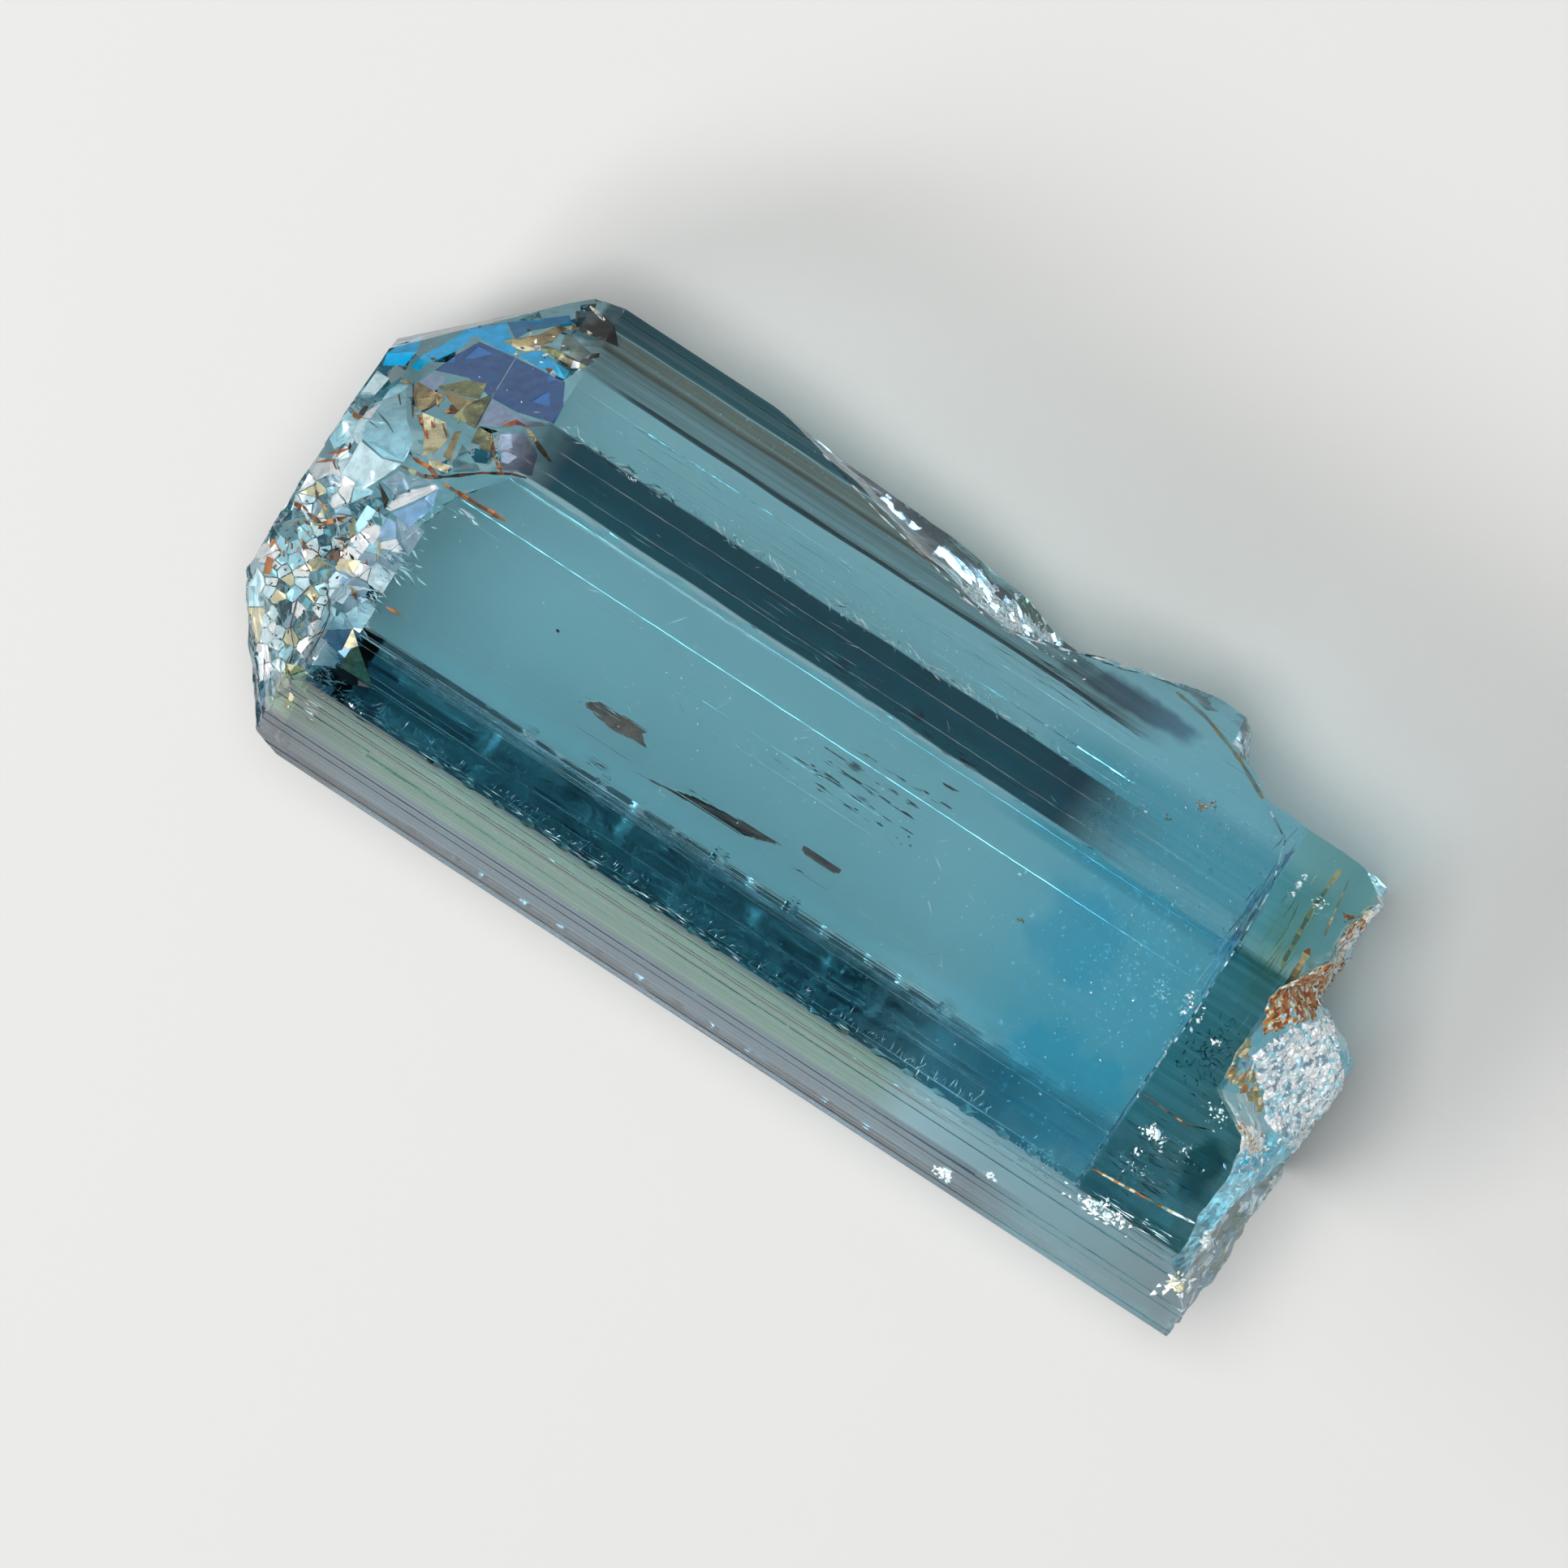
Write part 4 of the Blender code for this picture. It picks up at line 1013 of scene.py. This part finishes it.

# White specks, veils, dust and rust grains, and sparkles: white chips that are painted glints

speckLook = {
    # the cloudy zone before the base and its veils
    "veils": [
        (5.60, 0.60, 1.40, 3.20, 520, 0.008, 0.021, 2.0, 0.0, 0.12, "frost white paleCyan"),
        (5.60, 0.60, 1.60, 3.00, 160, 0.020, 0.040, 2.0, 0.4, 3.0, "frost white paleCyan"),
        (6.90, 1.90, 0.16, 1.30, 190, 0.010, 0.028, 2.5, 0.0, 0.8, "frost lightBlue white"),
        (7.03, -1.00, 0.07, 2.20, 170, 0.008, 0.028, 2.0, 0.0, 0.5, "frost white paleCyan"),
        (4.05, 2.10, 0.24, 0.70, 120, 0.010, 0.028, 2.5, 0.0, 0.8, "frost white paleCyan"),
        (4.60, 2.40, 0.20, 0.20, 26, 0.010, 0.030, 2.0, 0.0, 0.3, "frost white"),
        (5.90, 2.80, 0.60, 0.40, 60, 0.010, 0.026, 2.0, 0.0, 0.5, "frost white"),
        (6.30, -3.30, 0.50, 0.20, 60, 0.010, 0.022, 2.0, 0.0, 0.3, "frost white"),
    ],
    "dust": [
        (0.00, 0.00, 8.00, 3.60, 260, 0.007, 0.017, 2.0, 0.0, 0.3, "white frost"),
        (0.90, 2.65, 5.00, 0.30, 130, 0.007, 0.018, 2.0, 0.0, 0.2, "white frost"),
        (-4.0, 4.20, 3.00, 0.25, 50, 0.007, 0.015, 2.0, 0.0, 0.1, "white frost"),
        (-8.0, 2.60, 0.70, 0.40, 30, 0.007, 0.016, 2.0, 0.0, 0.1, "white frost"),
    ],
    # Painted glints: bright white chips where the base's cracks and the chip catch the light
    "paintedGlints": [
        (7.66, -1.95, 0.26, 0.16, 60, 0.018, 0.060, 1.6, -0.02, 0.05, "white white frost"),
        (7.60, -2.32, 0.12, 0.06, 12, 0.018, 0.040, 1.6, -0.02, 0.05, "white frost"),
        (7.70, -2.62, 0.34, 0.20, 60, 0.010, 0.030, 1.6, -0.02, 0.10, "white frost paleCyan"),
        (7.60, -3.46, 0.50, 0.16, 150, 0.016, 0.055, 2.0, -0.02, 0.05, "white white frost"),
        (7.40, 2.76, 0.05, 0.34, 26, 0.020, 0.055, 1.6, -0.02, 0.05, "white white frost"),
        (7.85, 2.70, 0.16, 0.20, 26, 0.014, 0.035, 1.6, -0.02, 0.05, "white frost"),
        (6.45, 0.08, 0.16, 0.18, 34, 0.012, 0.030, 1.6, 0.0, 0.3, "white frost"),
        (6.92, 0.18, 0.12, 0.22, 28, 0.020, 0.045, 1.6, -0.02, 0.1, "white white frost"),
        (7.20, 0.05, 0.06, 0.30, 22, 0.016, 0.040, 1.6, -0.02, 0.1, "white frost"),
        (7.62, -0.14, 0.08, 0.05, 8, 0.020, 0.040, 1.6, -0.02, 0.0, "white"),
        (9.38, -2.93, 0.18, 0.14, 34, 0.025, 0.070, 1.6, -0.02, 0.02, "white white frost"),
        (9.36, -3.80, 0.24, 0.22, 60, 0.025, 0.080, 1.6, -0.02, 0.02, "white white cream"),
        (5.82, -4.00, 0.12, 0.04, 12, 0.020, 0.050, 1.8, -0.02, 0.02, "white frost"),
        (5.20, -4.40, 0.18, 0.11, 34, 0.025, 0.070, 1.8, -0.02, 0.02, "white frost"),
        (8.35, -1.10, 0.28, 0.22, 46, 0.014, 0.040, 1.6, -0.02, 0.05, "white frost"),
        (8.30, -1.95, 0.30, 0.20, 30, 0.012, 0.030, 1.6, -0.02, 0.05, "white frost"),
        (9.25, -1.50, 0.28, 0.60, 110, 0.016, 0.050, 2.4, -0.02, 0.05, "lightBlue white cyan frost"),
        (1.10, 3.90, 0.90, 0.22, 150, 0.010, 0.032, 1.8, -0.01, 0.02, "white white frost"),
        (-7.15, -3.26, 0.10, 0.03, 8, 0.015, 0.035, 1.8, -0.01, 0.02, "white"),
    ],
    "grains": [
        (5.36, 3.00, 0.10, 0.09, 30, 0.012, 0.032, 1.6, -0.01, 0.05, "cream orange tan"),
        (5.52, 3.12, 0.07, 0.07, 10, 0.012, 0.030, 1.6, -0.01, 0.05, "orange brown"),
        (5.00, 2.50, 0.08, 0.07, 14, 0.012, 0.028, 1.6, -0.01, 0.05, "orange tan"),
        (3.90, -0.20, 0.08, 0.04, 12, 0.010, 0.024, 1.6, 0.0, 0.1, "olive orange"),
        (8.40, 2.80, 0.10, 0.06, 14, 0.014, 0.040, 1.6, -0.04, 0.0, "rust brown"),
    ],
}
markLook = {
    "strokes": [
        (-1.00, 2.46, 5.00, 0.09, 150, 0.04, 0.28, 0.018, (-50, 30), 0.0, "frost blueGrey white teal"),
        (-5.60, 2.42, 1.00, 0.08, 40, 0.06, 0.28, 0.030, (-30, 30), 0.0, "darkTeal teal frost"),
        (0.00, 0.60, 6.00, 3.00, 54, 0.10, 0.45, 0.008, (-60, 60), 0.0, "frost blueGrey"),
        (-2.00, -3.10, 6.50, 0.09, 200, 0.04, 0.18, 0.013, (35, 100), 0.0, "frost teal blueGrey"),
        (-2.00, -3.26, 6.50, 0.05, 120, 0.06, 0.40, 0.012, (-8, 8), 0.0, "frost teal blueGrey"),
        (4.30, -3.10, 1.20, 0.12, 50, 0.05, 0.18, 0.013, (70, 110), 0.0, "teal frost"),
        (-1.50, 3.05, 5.50, 0.30, 30, 0.30, 1.20, 0.008, (-2, 2), 0.0, "blueGrey teal"),
        (-2.00, 1.60, 5.50, 0.40, 26, 0.30, 1.40, 0.008, (-2, 2), 0.0, "blueGrey teal"),
        (2.50, 3.40, 1.80, 0.25, 30, 0.30, 1.00, 0.014, (-4, 2), 0.0, "blueGrey lightBlue darkTeal"),
        (-7.75, -3.70, 0.14, 0.16, 26, 0.10, 0.30, 0.022, (-4, 4), 0.0, "umber blueGrey frost"),
        (6.95, 1.80, 0.15, 1.20, 46, 0.30, 1.00, 0.030, (80, 100), 0.1, "lightBlue blueGrey frost"),
        (7.70, 1.80, 0.30, 1.30, 26, 0.20, 0.80, 0.020, (82, 98), 0.05, "greenGrey cream frost"),
        (7.70, -0.30, 0.40, 0.60, 110, 0.05, 0.22, 0.030, (-90, 90), 0.04, "teal darkTeal greenGrey blueGrey"),
        (7.90, -2.40, 0.70, 0.60, 90, 0.08, 0.40, 0.020, (-10, 10), 0.02, "teal frost darkTeal"),
        (8.20, -3.28, 0.70, 0.14, 40, 0.20, 0.70, 0.018, (-4, 4), 0.0, "frost teal white"),
    ],
    # line, width, depth, colours
    "lines": [
        # The first two lines are a painted highlight: white ribbons along the chip's sharp rim where it catches the
        # light
        ([(-3.04, 4.46), (-1.65, 4.12), (-0.53, 3.92), (0.20, 3.74), (0.75, 3.65), (1.14, 3.66)], 0.03, 0.0,
         "white frost"),
        ([(1.14, 3.66), (1.97, 3.89), (2.40, 4.06), (3.77, 4.44)], 0.04, 0.0, "frost white paleCyan"),
        ([(6.28, 3.60), (6.82, 3.29), (7.05, 2.48), (7.10, -0.10), (7.02, -1.6), (7.03, -3.34)], 0.035, 0.0,
         "frost blueGrey paleCyan teal"),
        ([(7.05, -1.49), (8.00, -1.52), (8.40, -1.36)], 0.03, 0.0, "umber orange umber"),
        ([(7.10, -2.97), (8.00, -2.90), (8.60, -2.85), (9.00, -2.80)], 0.045, 0.0, "orange cream tan frost"),
        ([(3.70, -3.50), (6.70, -3.50)], 0.018, 0.0, "frost blueGrey"),
        ([(4.00, 4.36), (4.60, 4.29), (5.20, 4.10), (5.52, 3.98), (6.15, 3.66)], 0.07, 0.03, "olive tan greenGrey"),
        ([(8.10, 2.00), (8.12, 1.40), (8.12, 0.80)], 0.13, 0.0, "orange tan cream"),
        ([(8.06, 3.30), (8.13, 2.80), (8.20, 2.30)], 0.04, 0.0, "tan olive cream"),
        ([(7.86, 3.40), (7.80, 2.50), (7.86, 1.50)], 0.08, 0.05, "cream greenGrey"),
    ],
}


def makeMarks():
    rng = random.Random(77)
    bm = newPiece()
    for clouds in speckLook.values():
        for row in clouds:
            addChipCloud(bm, rng, *row)
    toObject("whiteSpecksAndGlints", bm, stainMaterial("speckWhiteAndGlint", 0.25, 3.0, 0.85))
    bm = newPiece()
    for row in markLook["strokes"]:
        addStrokes(bm, rng, *row)
    for line, width, depth, names in markLook["lines"]:
        addRibbon(bm, rng, line, width, depth, names, 0.10)
    toObject("surfaceMarksAndRimGlint", bm, stainMaterial("markFrostAndGlint", 0.35, 6.0, 0.7))


makeMarks()
print("specks and marks ready")


# The studio

studio = {
    "floor": (0.62, 0.615, 0.60),
    "sky": (0.60, 0.63, 0.66),
    "skyStrength": 0.2,
    "horizonStrength": 0.02,
    "key": ((-0.12, -0.20, 0.24), (0.12, 0.12), 0.55),
    "overhead": ((-0.02, 0.05, 0.30), (0.12, 0.12), 0.72),
    "fill": ((-0.24, -0.05, 0.10), (0.12, 0.12), 0.22),
    "cameraDistance": 0.32,
    "frameWidth": 26.02 * mm,
    "aim": (-0.586 * mm, -0.458 * mm),
    "roll": 33.2,
}


def addLight(name, place, size, power):
    data = bpy.data.lights.new(name, "AREA")
    data.shape = "RECTANGLE"
    data.size, data.size_y = size
    data.energy = power
    light = bpy.data.objects.new(name, data)
    bpy.context.scene.collection.objects.link(light)
    light.location = place
    light.rotation_euler = (axis - Vector(place)).to_track_quat("-Z", "Y").to_euler()


def makeFloor():
    half = 0.6
    mesh = bpy.data.meshes.new("floor")
    corners = [(-half, -half, 0), (half, -half, 0), (half, half, 0), (-half, half, 0)]
    mesh.from_pydata(corners, [], [(0, 1, 2, 3)])
    floor = bpy.data.objects.new("floor", mesh)
    floor.location.z = -0.01 * mm
    bpy.context.scene.collection.objects.link(floor)
    mesh.materials.append(newMaterial("paleFloor", Base_Color=(*studio["floor"], 1), Roughness=0.7))


def makeSky():
    world = bpy.data.worlds.new("studioSky")
    bpy.context.scene.world = world
    world.use_nodes = True
    tree = world.node_tree
    background = tree.nodes["Background"]
    up = put(tree, "SeparateXYZ", Vector=put(tree, "TexCoord").outputs["Generated"]).outputs[2]
    strength = remap(tree, up, 0.10, 0.75, studio["horizonStrength"], studio["skyStrength"])
    background.inputs["Color"].default_value = (*studio["sky"], 1)
    connect(tree, background.inputs["Strength"], strength)


def makeCamera():
    along = Vector((1, 0, 0))
    roll = math.radians(studio["roll"])
    right = along * math.cos(roll) + viewUp * math.sin(roll)
    top = viewUp * math.cos(roll) - along * math.sin(roll)
    target = axis + along * studio["aim"][0] + viewUp * studio["aim"][1]
    camera = bpy.data.objects.new("camera", bpy.data.cameras.new("camera"))
    bpy.context.scene.collection.objects.link(camera)
    camera.data.sensor_width = 36
    camera.data.lens = camera.data.sensor_width * studio["cameraDistance"] / studio["frameWidth"]
    camera.data.clip_start = 0.01
    turn = Matrix((right, top, viewBack)).transposed().to_4x4()
    camera.matrix_world = Matrix.Translation(target + viewBack * studio["cameraDistance"]) @ turn
    bpy.context.scene.camera = camera


makeFloor()
makeSky()
makeCamera()
addLight("keyLight", *studio["key"])
addLight("overheadLight", *studio["overhead"])
addLight("fillLight", *studio["fill"])
bpy.context.scene.view_settings.view_transform = "Standard"
print("studio ready")
